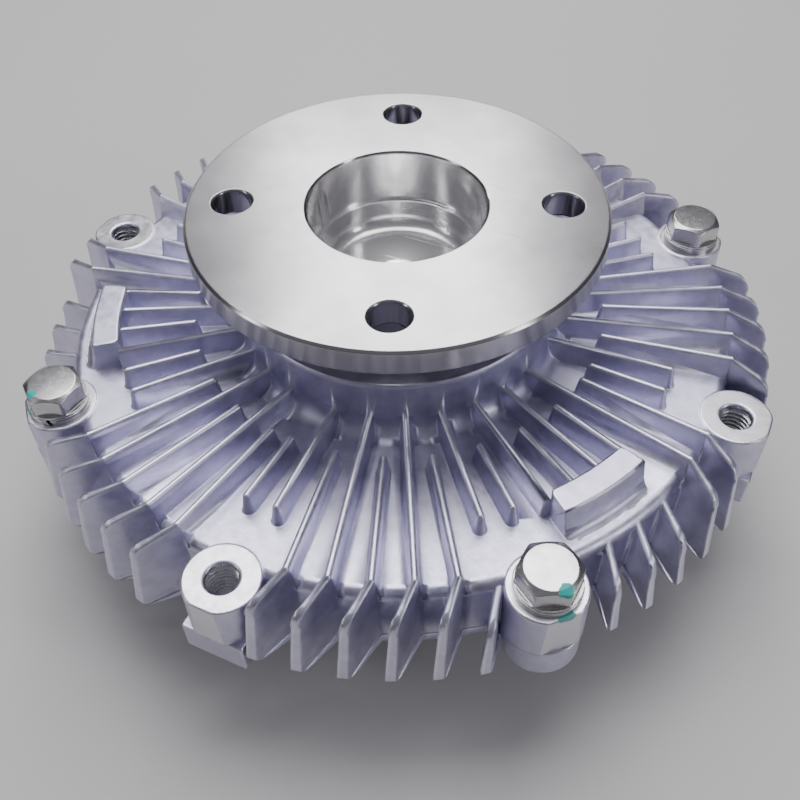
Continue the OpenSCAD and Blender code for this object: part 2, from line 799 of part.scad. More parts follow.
// One fin on the front of the cover, with its lower edge on the standing plane
module cover_fin() {
  r0 = separator_seat_r + cover_fin_inset;
  z_foot = z_floor - cover_wall / 2;
  rotate([90, 0, 0])
    translate([0, 0, -cover_fin_t / 2])
      linear_extrude(cover_fin_t)
        polygon([
          [r0, z_foot], [r0, z_base + cover_fin_bevel], [r0 + cover_fin_bevel, z_base],
          [cover_fin_turn_r, z_base],
          [rim_r - cover_rim_edge - cover_fin_step, z_cover_rim + cover_fin_step],
          [chamber_r, z_foot]
        ]);
}

// Gussets that carry the lines of the vanes down to the cover's rim
module cover_gussets() {
  z_top = z_rim - skirt_gap;
  w = rib_top_w + 2 * (z_plate + rib_h - z_rim) * tan(vane_draft) + 2 * gusset_ledge;
  intersection() {
    rotate_extrude()
      polygon([
        [rim_r - bite, z_top], [tip_r - gusset_inset, z_top], [rim_r - bite, z_cover_rim + cover_rim_edge / 2]
      ]);
    for (q = [0:quarters - 1], i = [0:last_rib])
      if (has_vane(i))
        rotate(rib_angle(q, i))
          translate([kink_r, 0, z_cover_rim])
            rotate(-vane_sweep)
              translate([-2 * bite, -w / 2, 0])
                cube([2 * bite + 2 * vane_reach, w, z_rim - z_cover_rim]);
  }
}

// Labyrinth rings of the cover between those of the rotor
module cover_lands() {
  for (i = [0:land_count - 2]) {
    r = land_first_r + land_pitch * (i + 0.5);
    tube(z_web_end - rotor_gap, z_floor - bite, r + land_w / 2, r - land_w / 2);
  }
}

module at_separator_screws() {
  at_angles(bolt_angle, quarters)
    translate([separator_screw_r, 0, 0])
      children();
}

module at_bracket_screws() {
  for (side = [-1, 1])
    translate([bracket_screw_r, side * bracket_screw_y, 0])
      children();
}

module front_cover() {
  screw_hole_r = screw_d / 2 + thread_gap;
  hole_depth = screw_grip + screw_spare;
  color("lightgray")
    difference() {
      union() {
        rotate_extrude()
          cover_section();
        difference() {
          lugs(0);
          disc(z_joint + past, z_lug - past, (seal_r + seal_cord_d / 2 + spigot_r) / 2);
        }
        cover_gussets();
        cover_lands();
        at_angles(0, cover_fins)
          cover_fin();
      }
      at_angles(bolt_angle, quarters)
        translate([boss_r, 0, 0])
          disc(z_joint + past, z_lug - past, bolt_d / 2 + thread_gap);
      at_angles(0, quarters)
        translate([boss_r, 0, 0])
          disc(z_joint + past, z_lug - past, bolt_d / 2 + bolt_gap);
      at_separator_screws()
        disc(z_floor, z_separator_end - hole_depth, screw_hole_r);
      at_bracket_screws()
        disc(z_front + hole_depth, z_front - past, screw_hole_r);
    }
}

// Round sealing ring of the given mean radius
module seal_cord(r, z, d) {
  translate([0, 0, z])
    rotate_extrude()
      translate([r, 0])
        circle(d = d);
}

module cover_seal_ring() {
  color("dimgray")
    seal_cord(seal_r, z_joint - seal_cord_d / 2, seal_cord_d);
}

// Hexagon with a turned bevel, its washer face and the shank into the lug
module case_bolt() {
  z_seat = z_boss + washer_t;
  z_hex = z_seat + bolt_collar_t;
  z_top = z_hex + hex_h;
  corner_r = hex_w / sqrt(3);
  cap_r = hex_w / 2 - hex_bevel;
  turned_r = corner_r + past;
  intersection() {
    translate([0, 0, z_hex])
      cylinder(h = hex_h, r = corner_r, $fn = 6);
    rotate_extrude()
      polygon([
        [0, z_hex], [turned_r, z_hex], [turned_r, z_top - (turned_r - cap_r) * tan(hex_slope)],
        [cap_r, z_top], [0, z_top]
      ]);
  }
  disc(z_hex, z_seat, bolt_collar_d / 2);
  disc(z_hex, z_lug + bolt_point, bolt_d / 2);
  translate([0, 0, z_lug])
    cylinder(h = bolt_point, d1 = bolt_d - 2 * bolt_point, d2 = bolt_d);
}

module case_bolts() {
  color("whitesmoke")
    at_angles(bolt_angle, quarters)
      translate([boss_r, 0, 0])
        rotate(bolt_turn)
          case_bolt();
}

module bolt_washers() {
  color("lightgray")
    at_angles(bolt_angle, quarters)
      translate([boss_r, 0, 0])
        rotate(washer_turn)
          difference() {
            tube(z_boss + washer_t, z_boss, washer_d / 2, bolt_d / 2 + bolt_gap / 2);
            translate([0, -washer_slit / 2, z_boss - past])
              rotate([slit_slope, 0, 0])
                cube([washer_d, washer_slit, washer_t + 3 * past]);
          }
}

// Ball race ring with a round groove and its own bevels outside and inside
module race_ring(r_out, r_in, edge_out, edge_in) {
  rotate_extrude()
    difference() {
      polygon([
        [r_in + edge_in, z_bearing], [r_out - edge_out, z_bearing],
        [r_out, z_bearing - edge_out], [r_out, z_bearing_end + edge_out],
        [r_out - edge_out, z_bearing_end], [r_in + edge_in, z_bearing_end],
        [r_in, z_bearing_end + edge_in], [r_in, z_bearing - edge_in]
      ]);
      translate([pitch_r, z_ball])
        circle(d = ball_d + 2 * ball_gap);
    }
}

module bearing_inner_ring() {
  color("lightsteelblue")
    race_ring(inner_land_r, bearing_bore / 2, ring_inner_edge, ring_edge);
}

module bearing_outer_ring() {
  color("lightsteelblue")
    race_ring(bearing_od / 2, outer_land_r, ring_edge, ring_inner_edge);
}

module at_balls() {
  at_angles(0, ball_count)
    translate([pitch_r, 0, z_ball])
      children();
}

module bearing_balls() {
  color("white")
    at_balls()
      sphere(d = ball_d);
}

module bearing_cage() {
  half_h = ball_d / 2 + ball_gap + cage_rim;
  color("silver")
    difference() {
      tube(z_ball + half_h, z_ball - half_h, pitch_r + cage_t / 2, pitch_r - cage_t / 2);
      at_balls()
        sphere(d = ball_d + 2 * ball_gap);
    }
}

module bearing_seal(z_top) {
  color("dimgray")
    tube(z_top, z_top - seal_t, outer_land_r, inner_land_r + seal_gap);
}

module bearing_seal_rear() {
  bearing_seal(z_bearing - seal_inset);
}

module bearing_seal_front() {
  bearing_seal(z_bearing_end + seal_inset + seal_t);
}

// Flat retaining ring with an opening
module retaining_ring(z_top, r_out, r_in) {
  half = clip_opening / 2;
  color("gray")
    difference() {
      tube(z_top, z_top - clip_t, r_out, r_in);
      translate([0, 0, z_top - clip_t - past])
        linear_extrude(clip_t + 2 * past)
          polygon([[0, 0], polar(2 * r_out, -half), polar(2 * r_out, half)]);
    }
}

module bearing_retaining_ring() {
  r_out = bearing_od / 2 + clip_groove - clip_gap;
  retaining_ring(z_bearing_end - clip_gap, r_out, r_out - clip_w);
}

module rotor_retaining_ring() {
  r_in = rotor_seat_d / 2 - shaft_groove + clip_gap;
  retaining_ring(z_mid_end - clip_gap, r_in + clip_w, r_in);
}

// Revolved section of the rotor: boss on the shaft, middle and outer web
module rotor_section() {
  seat_r = rotor_seat_d / 2;
  step_r = rotor_mid_r + rotor_mid / 2;
  polygon([
    [seat_r, z_bearing_end], [shoulder_r, z_bearing_end], [shoulder_r, z_mid],
    [rotor_mid_r, z_mid], [rotor_mid_r, z_rotor], [rotor_r, z_rotor], [rotor_r, z_web_end],
    [step_r, z_web_end], [step_r, z_mid_end], [seat_r, z_mid_end]
  ]);
}

module rotor() {
  color("darkgray")
    difference() {
      union() {
        rotate_extrude()
          rotor_section();
        for (i = [0:land_count - 1]) {
          r = land_first_r + land_pitch * i;
          tube(z_web_end + bite, z_land_end, r + land_w / 2, r - land_w / 2);
        }
      }
      at_angles(bolt_angle, quarters)
        translate([(shoulder_r + rotor_mid_r) / 2, 0, 0])
          disc(z_rotor + past, z_mid_end - past, rotor_hole_d / 2);
    }
}

module separator_plate() {
  color("darkgray")
    difference() {
      disc(z_floor, z_separator_end, separator_r);
      translate([gate_r, 0, 0])
        disc(z_floor + past, z_separator_end - past, gate_d / 2);
      at_separator_screws()
        disc(z_floor + past, z_separator_end - past, screw_d / 2 + thread_gap);
    }
}

// Small screw whose head sits on what it clamps
module small_screw(clamped) {
  cylinder(h = screw_head_h, d1 = screw_head_d, d2 = screw_head_d - 2 * screw_head_draft);
  translate([0, 0, -clamped - screw_grip])
    cylinder(h = clamped + screw_grip + screw_head_h / 2, d = screw_d);
}

module separator_screws() {
  color("silver")
    at_separator_screws()
      translate([0, 0, z_floor])
        small_screw(separator_t);
}

// Shaft from the arm down to the slot that holds the coil
module valve_shaft() {
  z_end = z_coil_end + coil_inset;
  slot_w = coil_t + 2 * coil_fit;
  color("silver")
    difference() {
      disc(z_arm, z_end, valve_r);
      translate([-valve_r - past, -slot_w / 2, z_end - past])
        cube([2 * (valve_r + past), slot_w, z_coil + coil_fit - z_end + past]);
    }
}

// Flat arm whose round end covers the gate hole
module valve_arm() {
  z_end = z_arm - valve_arm_t;
  color("silver")
    difference() {
      union() {
        disc(z_arm, z_end, valve_r + valve_eye_w);
        translate([0, -valve_arm_w / 2, z_end])
          cube([gate_r, valve_arm_w, valve_arm_t]);
        translate([gate_r, 0, 0])
          disc(z_arm, z_end, valve_arm_w / 2);
      }
      disc(z_arm + past, z_end - past, valve_r);
    }
}

module valve_shaft_seal() {
  r_in = valve_r + 2 * valve_shaft_gap;
  r_out = valve_r + shaft_cord_d;
  color("dimgray")
    seal_cord((r_in + r_out) / 2, z_shaft_cord, r_out - r_in);
}

// Spiral strip, straight through the shaft's slot at its inner end and hooked at its outer end
module bimetal_coil() {
  steps = 36;
  outer = spiral(coil_start_r + coil_t, coil_pitch, coil_turns, steps);
  inner = spiral(coil_start_r, coil_pitch, coil_turns, steps);
  n = len(inner);
  color("goldenrod")
    translate([0, 0, z_coil_end])
      linear_extrude(coil_w)
        union() {
          polygon(concat(outer, [for (i = [1:n]) inner[n - i]]));
          translate([-valve_r, -coil_t / 2])
            square([valve_r + coil_start_r + coil_t / 2, coil_t]);
          translate([coil_end_r + coil_t / 2, -coil_t / 2])
            square([bracket_r + bracket_t - coil_end_r - coil_t / 2, coil_t]);
        }
}

// Angle clip with a slit for the coil's outer end
module coil_bracket() {
  slit_w = coil_t + 2 * coil_fit;
  color("silver")
    difference() {
      union() {
        translate([bracket_r, -bracket_w / 2, z_front - bracket_t])
          cube([bracket_t + bracket_foot, bracket_w, bracket_t]);
        translate([bracket_r, -bracket_tab_w / 2, z_coil_end])
          cube([bracket_t, bracket_tab_w, z_front - z_coil_end]);
      }
      translate([bracket_r - past, -slit_w / 2, z_coil_end - past])
        cube([bracket_t + 2 * past, slit_w, coil_w + past + coil_fit]);
      at_bracket_screws()
        disc(z_front + past, z_front - bracket_t - past, screw_d / 2 + thread_gap);
    }
}

module bracket_screws() {
  color("silver")
    at_bracket_screws()
      translate([0, 0, z_front - bracket_t])
        mirror([0, 0, 1])
          small_screw(bracket_t);
}

drive_hub();
rear_housing();
front_cover();
cover_seal_ring();
case_bolts();
bolt_washers();
bearing_inner_ring();
bearing_outer_ring();
bearing_balls();
bearing_cage();
bearing_seal_rear();
bearing_seal_front();
bearing_retaining_ring();
rotor();
rotor_retaining_ring();
separator_plate();
separator_screws();
valve_shaft();
valve_arm();
valve_shaft_seal();
bimetal_coil();
coil_bracket();
bracket_screws();
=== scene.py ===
"""Looks of a viscous fan clutch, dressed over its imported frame.

The castings, the washers and the hub are shown by copies with rounded edges, and the bolts by copies with
turned caps. The other nodes keep their shapes, and all get cast, turned, plated, rolled or rubber finishes.
The screw threads of the fan holes are added here. The whole stands on a pale floor in soft studio light.
"""
import logging
import math
from dataclasses import dataclass, field
from enum import Enum
from typing import Callable, Union

import bmesh
import bpy
from mathutils import Matrix, Vector


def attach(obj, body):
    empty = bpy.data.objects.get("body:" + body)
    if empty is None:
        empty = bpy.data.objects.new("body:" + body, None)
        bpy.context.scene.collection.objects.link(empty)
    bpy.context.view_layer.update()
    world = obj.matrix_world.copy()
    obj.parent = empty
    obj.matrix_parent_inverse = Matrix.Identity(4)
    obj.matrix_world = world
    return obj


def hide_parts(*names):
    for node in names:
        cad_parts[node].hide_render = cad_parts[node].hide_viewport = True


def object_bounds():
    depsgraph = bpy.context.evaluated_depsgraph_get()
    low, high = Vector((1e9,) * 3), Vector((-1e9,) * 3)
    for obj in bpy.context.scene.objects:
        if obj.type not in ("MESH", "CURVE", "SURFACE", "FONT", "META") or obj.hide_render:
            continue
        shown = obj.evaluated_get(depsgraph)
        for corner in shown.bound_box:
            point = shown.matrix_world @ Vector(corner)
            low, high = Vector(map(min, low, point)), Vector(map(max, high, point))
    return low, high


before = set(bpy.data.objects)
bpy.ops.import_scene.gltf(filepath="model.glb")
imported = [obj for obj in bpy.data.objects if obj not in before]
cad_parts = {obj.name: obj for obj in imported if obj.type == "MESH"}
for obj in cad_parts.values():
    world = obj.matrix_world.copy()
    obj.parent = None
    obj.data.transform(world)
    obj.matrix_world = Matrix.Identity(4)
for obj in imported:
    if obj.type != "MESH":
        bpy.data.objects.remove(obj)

CAD_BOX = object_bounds()
MM = 0.001
MERGE = 0.002 * MM
SAME_POINT = 0.001 * MM
ON_PLANE = 0.0001 * MM
HEX_SIDES = 6
LOG = logging.getLogger("fan_clutch")

Socket = bpy.types.NodeSocket
Value = Union[float, tuple, Socket]
Colour = tuple[float, float, float]


class Body(Enum):
    """Moving bodies of the frame."""

    HOUSING = "housing"
    INPUT = "input"


class Kind(Enum):
    """Socket kinds of a node group."""

    NUMBER = "NodeSocketFloat"
    VECTOR = "NodeSocketVector"


class Graph:
    """Wires one shader node tree in short lines."""

    def __init__(self, tree: bpy.types.NodeTree) -> None:
        """Keeps the tree that the nodes go into."""
        self.tree = tree

    def node(self, kind: str, **settings: object) -> bpy.types.Node:
        """Adds a node.

        Args:
            kind: Blender's name of the node type.
            settings: properties of the node to set.

        Returns:
            The new node.
        """
        made = self.tree.nodes.new(kind)
        for name, value in settings.items():
            setattr(made, name, value)
        return made

    def feed(self, socket: Socket, value: Value) -> None:
        """Links a socket to another one, or sets its constant."""
        if isinstance(value, Socket):
            self.tree.links.new(value, socket)
        elif socket.type == "RGBA" and len(value) == 3:
            socket.default_value = (*value, 1.0)
        else:
            socket.default_value = value

    def math(self, operation: str, *values: Value, clamp: bool = False) -> Socket:
        """Adds a Math node.

        Args:
            operation: Blender's name of the operation.
            values: the inputs, in order.
            clamp: whether the result is held between 0 and 1.

        Returns:
            The result.
        """
        made = self.node("ShaderNodeMath", operation=operation, use_clamp=clamp)
        for socket, value in zip(made.inputs, values):
            self.feed(socket, value)
        return made.outputs[0]

    def vector(self, operation: str, *values: Value) -> bpy.types.Node:
        """Adds a Vector Math node.

        Args:
            operation: Blender's name of the operation.
            values: the inputs, in order.

        Returns:
            The node, with the vector result first and the number result second.
        """
        made = self.node("ShaderNodeVectorMath", operation=operation)
        for socket, value in zip(made.inputs, values):
            self.feed(socket, value)
        return made

    def spread(self, value: Value, low: float, high: float, start: float = 0.0, end: float = 1.0) -> Socket:
        """Maps a range of a value smoothly to another range.

        Args:
            value: the value to map.
            low: the value that becomes start.
            high: the value that becomes end.
            start: the result at low.
            end: the result at high.

        Returns:
            The mapped value.
        """
        made = self.node("ShaderNodeMapRange", interpolation_type="SMOOTHSTEP")
        ends = (("From Min", low), ("From Max", high), ("To Min", start), ("To Max", end))
        for name, given in (("Value", value), *ends):
            self.feed(made.inputs[name], given)
        return made.outputs[0]

    def blend(self, share: Value, first: Value, second: Value) -> Socket:
        """Mixes two colours.

        Args:
            share: how much of the second colour shows.
            first: the colour at share 0.
            second: the colour at share 1.

        Returns:
            The mixed colour.
        """
        made = self.node("ShaderNodeMix", data_type="RGBA")
        for index, given in ((0, share), (6, first), (7, second)):
            self.feed(made.inputs[index], given)
        return made.outputs[2]

    def noise(self, place: Value, scale: float, detail: float = 2.0, rough: float = 0.5) -> Socket:
        """Adds a Noise Texture.

        Args:
            place: the coordinates.
            scale: how many waves fit in a metre.
            detail: how many finer layers are added.
            rough: how strong the finer layers are.

        Returns:
            The noise value.
        """
        made = self.node("ShaderNodeTexNoise")
        for name, given in (("Vector", place), ("Scale", scale), ("Detail", detail), ("Roughness", rough)):
            self.feed(made.inputs[name], given)
        return made.outputs[0]

    def place(self) -> Socket:
        """Returns the Object coordinates."""
        return self.node("ShaderNodeTexCoord").outputs["Object"]

    def split(self, vector: Value) -> tuple[Socket, Socket, Socket]:
        """Returns the three parts of a vector."""
        made = self.node("ShaderNodeSeparateXYZ")
        self.feed(made.inputs[0], vector)
        return made.outputs[0], made.outputs[1], made.outputs[2]

    def join(self, x: Value, y: Value, z: Value) -> Socket:
        """Returns a vector made of three parts."""
        made = self.node("ShaderNodeCombineXYZ")
        for socket, given in zip(made.inputs, (x, y, z)):
            self.feed(socket, given)
        return made.outputs[0]

    def hypot(self, x: Value, y: Value) -> Socket:
        """Returns the length of a flat vector."""
        return self.math("SQRT", self.math("ADD", self.math("POWER", x, 2.0), self.math("POWER", y, 2.0)))

    def bump(self, height: Value, strength: float, depth: float, normal: Value) -> Socket:
        """Adds a Bump node.

        Args:
            height: the height, from 0 to 1.
            strength: the share of the effect.
            depth: the depth of the relief in metres.
            normal: the normal to start from.

        Returns:
            The bumped normal.
        """
        made = self.node("ShaderNodeBump")
        sizes = (("Strength", strength), ("Distance", depth))
        for name, given in (("Height", height), *sizes, ("Normal", normal)):
            self.feed(made.inputs[name], given)
        return made.outputs[0]


class Effect:
    """A surface effect that several finishes share, kept as one node group."""

    title = ""
    takes: dict[str, float] = {}
    gives: dict[str, Kind] = {}

    def wire(self, graph: Graph, given: bpy.types.Node, result: bpy.types.Node) -> None:
        """Wires the inside of the group."""
        raise NotImplementedError

    def group(self) -> bpy.types.NodeTree:
        """Returns the group, which is built on first use."""
        found = bpy.data.node_groups.get(self.title)
        if found:
            return found
        tree = bpy.data.node_groups.new(self.title, "ShaderNodeTree")
        for name, value in self.takes.items():
            socket = tree.interface.new_socket(name, in_out="INPUT", socket_type=Kind.NUMBER.value)
            socket.default_value = value
        for name, kind in self.gives.items():
            tree.interface.new_socket(name, in_out="OUTPUT", socket_type=kind.value)
        graph = Graph(tree)
        self.wire(graph, graph.node("NodeGroupInput"), graph.node("NodeGroupOutput"))
        return tree

    def use(self, graph: Graph, **values: float) -> dict[str, Socket]:
        """Places the group in a material.

        Args:
            graph: the material's graph.
            values: this material's own values for the group's inputs.

        Returns:
            The group's outputs by name.
        """
        made = graph.node("ShaderNodeGroup")
        made.node_tree = self.group()
        for name, value in values.items():
            made.inputs[name].default_value = value
        return {name: made.outputs[name] for name in self.gives}


class SoftEdges(Effect):
    """Rounded normals at edges, and a mask of the raised edges that are brightened, partly as patchy rubbing
    from handling and partly as a painted highlight.
    """

    title = "soft edges"
    takes = {"Radius": 0.5 * MM}
    gives = {"Normal": Kind.VECTOR, "Rub and highlight": Kind.NUMBER}
    samples = 8
    reach = 1.6
    patch_scale = 420.0
    patch_range = (0.3, 0.65, 0.45, 1.0)
    edge_range = (0.55, 0.92, 1.0, 0.0)

    def wire(self, graph: Graph, given: bpy.types.Node, result: bpy.types.Node) -> None:
        """Wires a bevelled normal and an inside shade."""
        bevel = graph.node("ShaderNodeBevel", samples=self.samples)
        graph.feed(bevel.inputs["Radius"], given.outputs["Radius"])
        inside = graph.node(
            "ShaderNodeAmbientOcclusion", samples=self.samples, inside=True, only_local=True)
        graph.feed(inside.inputs["Distance"], graph.math("MULTIPLY", given.outputs["Radius"], self.reach))
        patchy = graph.spread(graph.noise(graph.place(), self.patch_scale, 3.0), *self.patch_range)
        # painted highlight: raised edges found by the inside occlusion are marked for brightening, in patches
        # that also stand for rubbing
        edge = graph.spread(inside.outputs["AO"], *self.edge_range)
        graph.feed(result.inputs["Normal"], bevel.outputs[0])
        graph.feed(result.inputs["Rub and highlight"], graph.math("MULTIPLY", edge, patchy))


class CastSkin(Effect):
    """Mottled skin of a die casting: cloudy tone, gloss patches and a fine orange peel."""

    title = "cast skin"
    gives = {"Tone": Kind.NUMBER, "Gloss": Kind.NUMBER, "Height": Kind.NUMBER}
    cloud_scale = 90.0
    patch_scale = 380.0
    peel_scale = 1500.0
    cloud_share = 0.6
    patch_share = 0.4
    patch_height = 0.8

    def wire(self, graph: Graph, given: bpy.types.Node, result: bpy.types.Node) -> None:
        """Wires three sizes of noise."""
        place = graph.place()
        cloud = graph.noise(place, self.cloud_scale, 4.0, 0.6)
        patch = graph.noise(place, self.patch_scale, 3.0, 0.55)
        peel = graph.noise(place, self.peel_scale, 2.0, 0.5)
        tone = graph.math("ADD", graph.math("MULTIPLY", cloud, self.cloud_share),
                          graph.math("MULTIPLY", patch, self.patch_share))
        graph.feed(result.inputs["Tone"], graph.spread(tone, 0.35, 0.65))
        graph.feed(result.inputs["Gloss"], graph.spread(patch, 0.3, 0.7))
        graph.feed(result.inputs["Height"], graph.math("MULTIPLY_ADD", patch, self.patch_height, peel))


class TurnedRings(Effect):
    """Faint circles that a lathe tool leaves about the axis, with a few stray scratches."""

    title = "turned rings"
    gives = {"Ring": Kind.NUMBER, "Scratch": Kind.NUMBER, "Cloud": Kind.NUMBER}
    ring_scale = 2600.0
    scratch_turn = (0.0, 0.0, 0.5)
    scratch_scale = (40.0, 1300.0, 40.0)
    scratch_range = (0.70, 0.76)
    rare_scale = 55.0
    rare_range = (0.55, 0.68)
    cloud_scale = 70.0

    def wire(self, graph: Graph, given: bpy.types.Node, result: bpy.types.Node) -> None:
        """Wires noise that runs with the radius and the height only, and thin stretched noise."""
        place = graph.place()
        x, y, z = graph.split(place)
        radius = graph.hypot(x, y)
        ring = graph.noise(graph.join(radius, 0.0, z), self.ring_scale, 2.0, 0.6)
        graph.feed(result.inputs["Ring"], ring)
        stretched = graph.node("ShaderNodeMapping")
        graph.feed(stretched.inputs["Vector"], place)
        stretched.inputs["Rotation"].default_value = self.scratch_turn
        stretched.inputs["Scale"].default_value = self.scratch_scale
        thin = graph.noise(stretched.outputs[0], 1.0, 1.0, 0.4)
        rare = graph.spread(graph.noise(place, self.rare_scale, 1.0), *self.rare_range)
        scratch = graph.math("MULTIPLY", graph.spread(thin, *self.scratch_range), rare)
        graph.feed(result.inputs["Scratch"], scratch)
        graph.feed(result.inputs["Cloud"], graph.noise(place, self.cloud_scale, 3.0, 0.55))


class BossFaces(Effect):
    """Machined faces and turned outer sides of the bosses, found by folding the plan into one eighth."""

    title = "boss faces"
    takes = {"Circle": 84.1 * MM, "Level": -33.9 * MM, "Reach": 8.7 * MM, "Turned": 91.9 * MM}
    gives = {"Face": Kind.NUMBER, "Ring": Kind.NUMBER, "Flat": Kind.NUMBER}
    foot = -46.5 * MM
    off_level = 0.06 * MM
    off_turned = 0.05 * MM
    ring_scale = 2400.0

    def fold(self, graph: Graph, x: Value, y: Value) -> tuple[Socket, Socket]:
        """Folds the plan so that the four bosses on the axes fall on one."""
        across, along = graph.math("ABSOLUTE", x), graph.math("ABSOLUTE", y)
        return graph.math("MAXIMUM", across, along), graph.math("MINIMUM", across, along)

    def distance(self, graph: Graph, x: Value, y: Value, circle: Value) -> Socket:
        """Returns the distance to the nearest of four boss axes."""
        along, across = self.fold(graph, x, y)
        off = graph.math("SUBTRACT", along, circle)
        return graph.hypot(off, across)

    def wire(self, graph: Graph, given: bpy.types.Node, result: bpy.types.Node) -> None:
        """Wires masks of the faces and of the turned sides, and rings about the boss axes."""
        x, y, z = graph.split(graph.place())
        turned_x = graph.math("MULTIPLY", graph.math("ADD", x, y), math.sqrt(0.5))
        turned_y = graph.math("MULTIPLY", graph.math("SUBTRACT", y, x), math.sqrt(0.5))
        circle = given.outputs["Circle"]
        near = graph.math("MINIMUM", self.distance(graph, x, y, circle),
                          self.distance(graph, turned_x, turned_y, circle))
        within = graph.math("LESS_THAN", near, given.outputs["Reach"])
        height = graph.math("ABSOLUTE", graph.math("SUBTRACT", z, given.outputs["Level"]))
        level = graph.math("LESS_THAN", height, self.off_level)
        graph.feed(result.inputs["Face"], graph.math("MULTIPLY", within, level))
        graph.feed(result.inputs["Ring"], graph.noise(graph.join(near, 0.0, 0.0), self.ring_scale, 1.0))
        off = graph.math("ABSOLUTE", graph.math("SUBTRACT", graph.hypot(x, y), given.outputs["Turned"]))
        above = graph.math("GREATER_THAN", z, self.foot)
        turned = graph.math("LESS_THAN", off, self.off_turned)
        graph.feed(result.inputs["Flat"], graph.math("MULTIPLY", turned, above))


class PaintDabs(Effect):
    """Inspection marks in teal paint, each a small uneven blot at its own place."""

    title = "paint dabs"
    gives = {"Paint": Kind.NUMBER}
    blot_scale = 900.0
    uneven = 1.6 * MM
    full = 0.8
    places = (
        ((63.9, -63.2, -27.2), 1.7, 1.0),
        ((64.4, -65.2, -33.9), 1.1, 0.8),
        ((65.3, -63.9, -33.9), 1.3, 0.8),
        ((-61.2, -64.2, -26.9), 1.3, 1.0),
        ((-62.2, -66.0, -31.8), 1.0, 0.5),
    )

    def wire(self, graph: Graph, given: bpy.types.Node, result: bpy.types.Node) -> None:
        """Wires one blot for each place and keeps the strongest."""
        place = graph.place()
        blur = graph.math("SUBTRACT", graph.noise(place, self.blot_scale, 3.0), 0.5)
        uneven = graph.math("MULTIPLY", blur, self.uneven)
        total: Value = 0.0
        for point, size, strength in self.places:
            away = graph.vector("DISTANCE", place, tuple(c * MM for c in point)).outputs[1]
            edge = size * MM
            blot = graph.spread(graph.math("ADD", away, uneven), self.full * edge, edge, strength, 0.0)
            total = graph.math("MAXIMUM", total, blot)
        graph.feed(result.inputs["Paint"], total)


SOFT_EDGES = SoftEdges()
CAST_SKIN = CastSkin()
TURNED_RINGS = TurnedRings()
BOSS_FACES = BossFaces()
PAINT_DABS = PaintDabs()


class Finish:
    """A finish that can be put on nodes and pieces."""

    title: str

    def dress(self, graph: Graph, shader: bpy.types.Node) -> None:
        """Wires the finish into its shader."""
        raise NotImplementedError

    def material(self) -> bpy.types.Material:
        """Returns the finish's material, which is built on first use."""
        found = bpy.data.materials.get(self.title)
        if found:
            return found
        made = bpy.data.materials.new(self.title)
        made.use_nodes = True
        made.node_tree.nodes.clear()
        graph = Graph(made.node_tree)
        shader = graph.node("ShaderNodeBsdfPrincipled")
        output = graph.node("ShaderNodeOutputMaterial")
        graph.feed(output.inputs["Surface"], shader.outputs[0])
        self.dress(graph, shader)
        return made

    def put_on(self, *objects: bpy.types.Object) -> None:
        """Gives objects this finish in place of what they had."""
        for thing in objects:
            thing.data.materials.clear()
            thing.data.materials.append(self.material())


@dataclass(frozen=True)
class CastAluminium(Finish):
    """Die-cast aluminium with edges brightened by rubbing and a painted highlight, and machined boss faces.
    """

    title: str = "die-cast aluminium"
    shade: Colour = (0.56, 0.545, 0.68)
    light: Colour = (0.71, 0.69, 0.85)
    # painted highlight: pale colour that the raised edges take, standing partly for rubbing
    edge: Colour = (0.88, 0.87, 0.91)
    machined: Colour = (0.74, 0.73, 0.78)
    paint: Colour = (0.02, 0.42, 0.38)
    edge_radius: float = 0.6 * MM
    roughness: float = 0.43
    rub_and_highlight: float = 0.7
    skin_gloss: float = 0.12
    wear_gloss: float = -0.10
    cut_gloss: float = -0.08
    paint_gloss: float = 0.1
    peel: tuple[float, float] = (0.22, 0.12 * MM)
    tool_marks: tuple[float, float] = (0.2, 0.05 * MM)

    def dress(self, graph: Graph, shader: bpy.types.Node) -> None:
        """Wires the cast skin, the bright edges (rubbing and painted highlight), the machined faces and the
        paint.
        """
        skin = CAST_SKIN.use(graph)
        edges = SOFT_EDGES.use(graph, Radius=self.edge_radius)
        boss = BOSS_FACES.use(graph)
        paint = PAINT_DABS.use(graph)["Paint"]
        colour = graph.blend(skin["Tone"], self.shade, self.light)
        # painted highlight on the raised edges, mixed with rubbing
        colour = graph.blend(graph.math("MULTIPLY", edges["Rub and highlight"], self.rub_and_highlight), colour, self.edge)
        cut = graph.math("MAXIMUM", boss["Face"], boss["Flat"])
        colour = graph.blend(cut, colour, self.machined)
        graph.feed(shader.inputs["Base Color"], graph.blend(paint, colour, self.paint))
        least = self.roughness - self.skin_gloss / 2
        gloss = graph.math("MULTIPLY_ADD", skin["Gloss"], self.skin_gloss, least)
        gloss = graph.math("MULTIPLY_ADD", edges["Rub and highlight"], self.wear_gloss, gloss)
        gloss = graph.math("MULTIPLY_ADD", cut, self.cut_gloss, gloss)
        graph.feed(shader.inputs["Roughness"], graph.math("MULTIPLY_ADD", paint, self.paint_gloss, gloss))
        graph.feed(shader.inputs["Metallic"], graph.math("SUBTRACT", 1.0, paint, clamp=True))
        peel = graph.bump(skin["Height"], *self.peel, edges["Normal"])
        rings = graph.math("MULTIPLY", boss["Ring"], boss["Face"])
        graph.feed(shader.inputs["Normal"], graph.bump(rings, *self.tool_marks, peel))


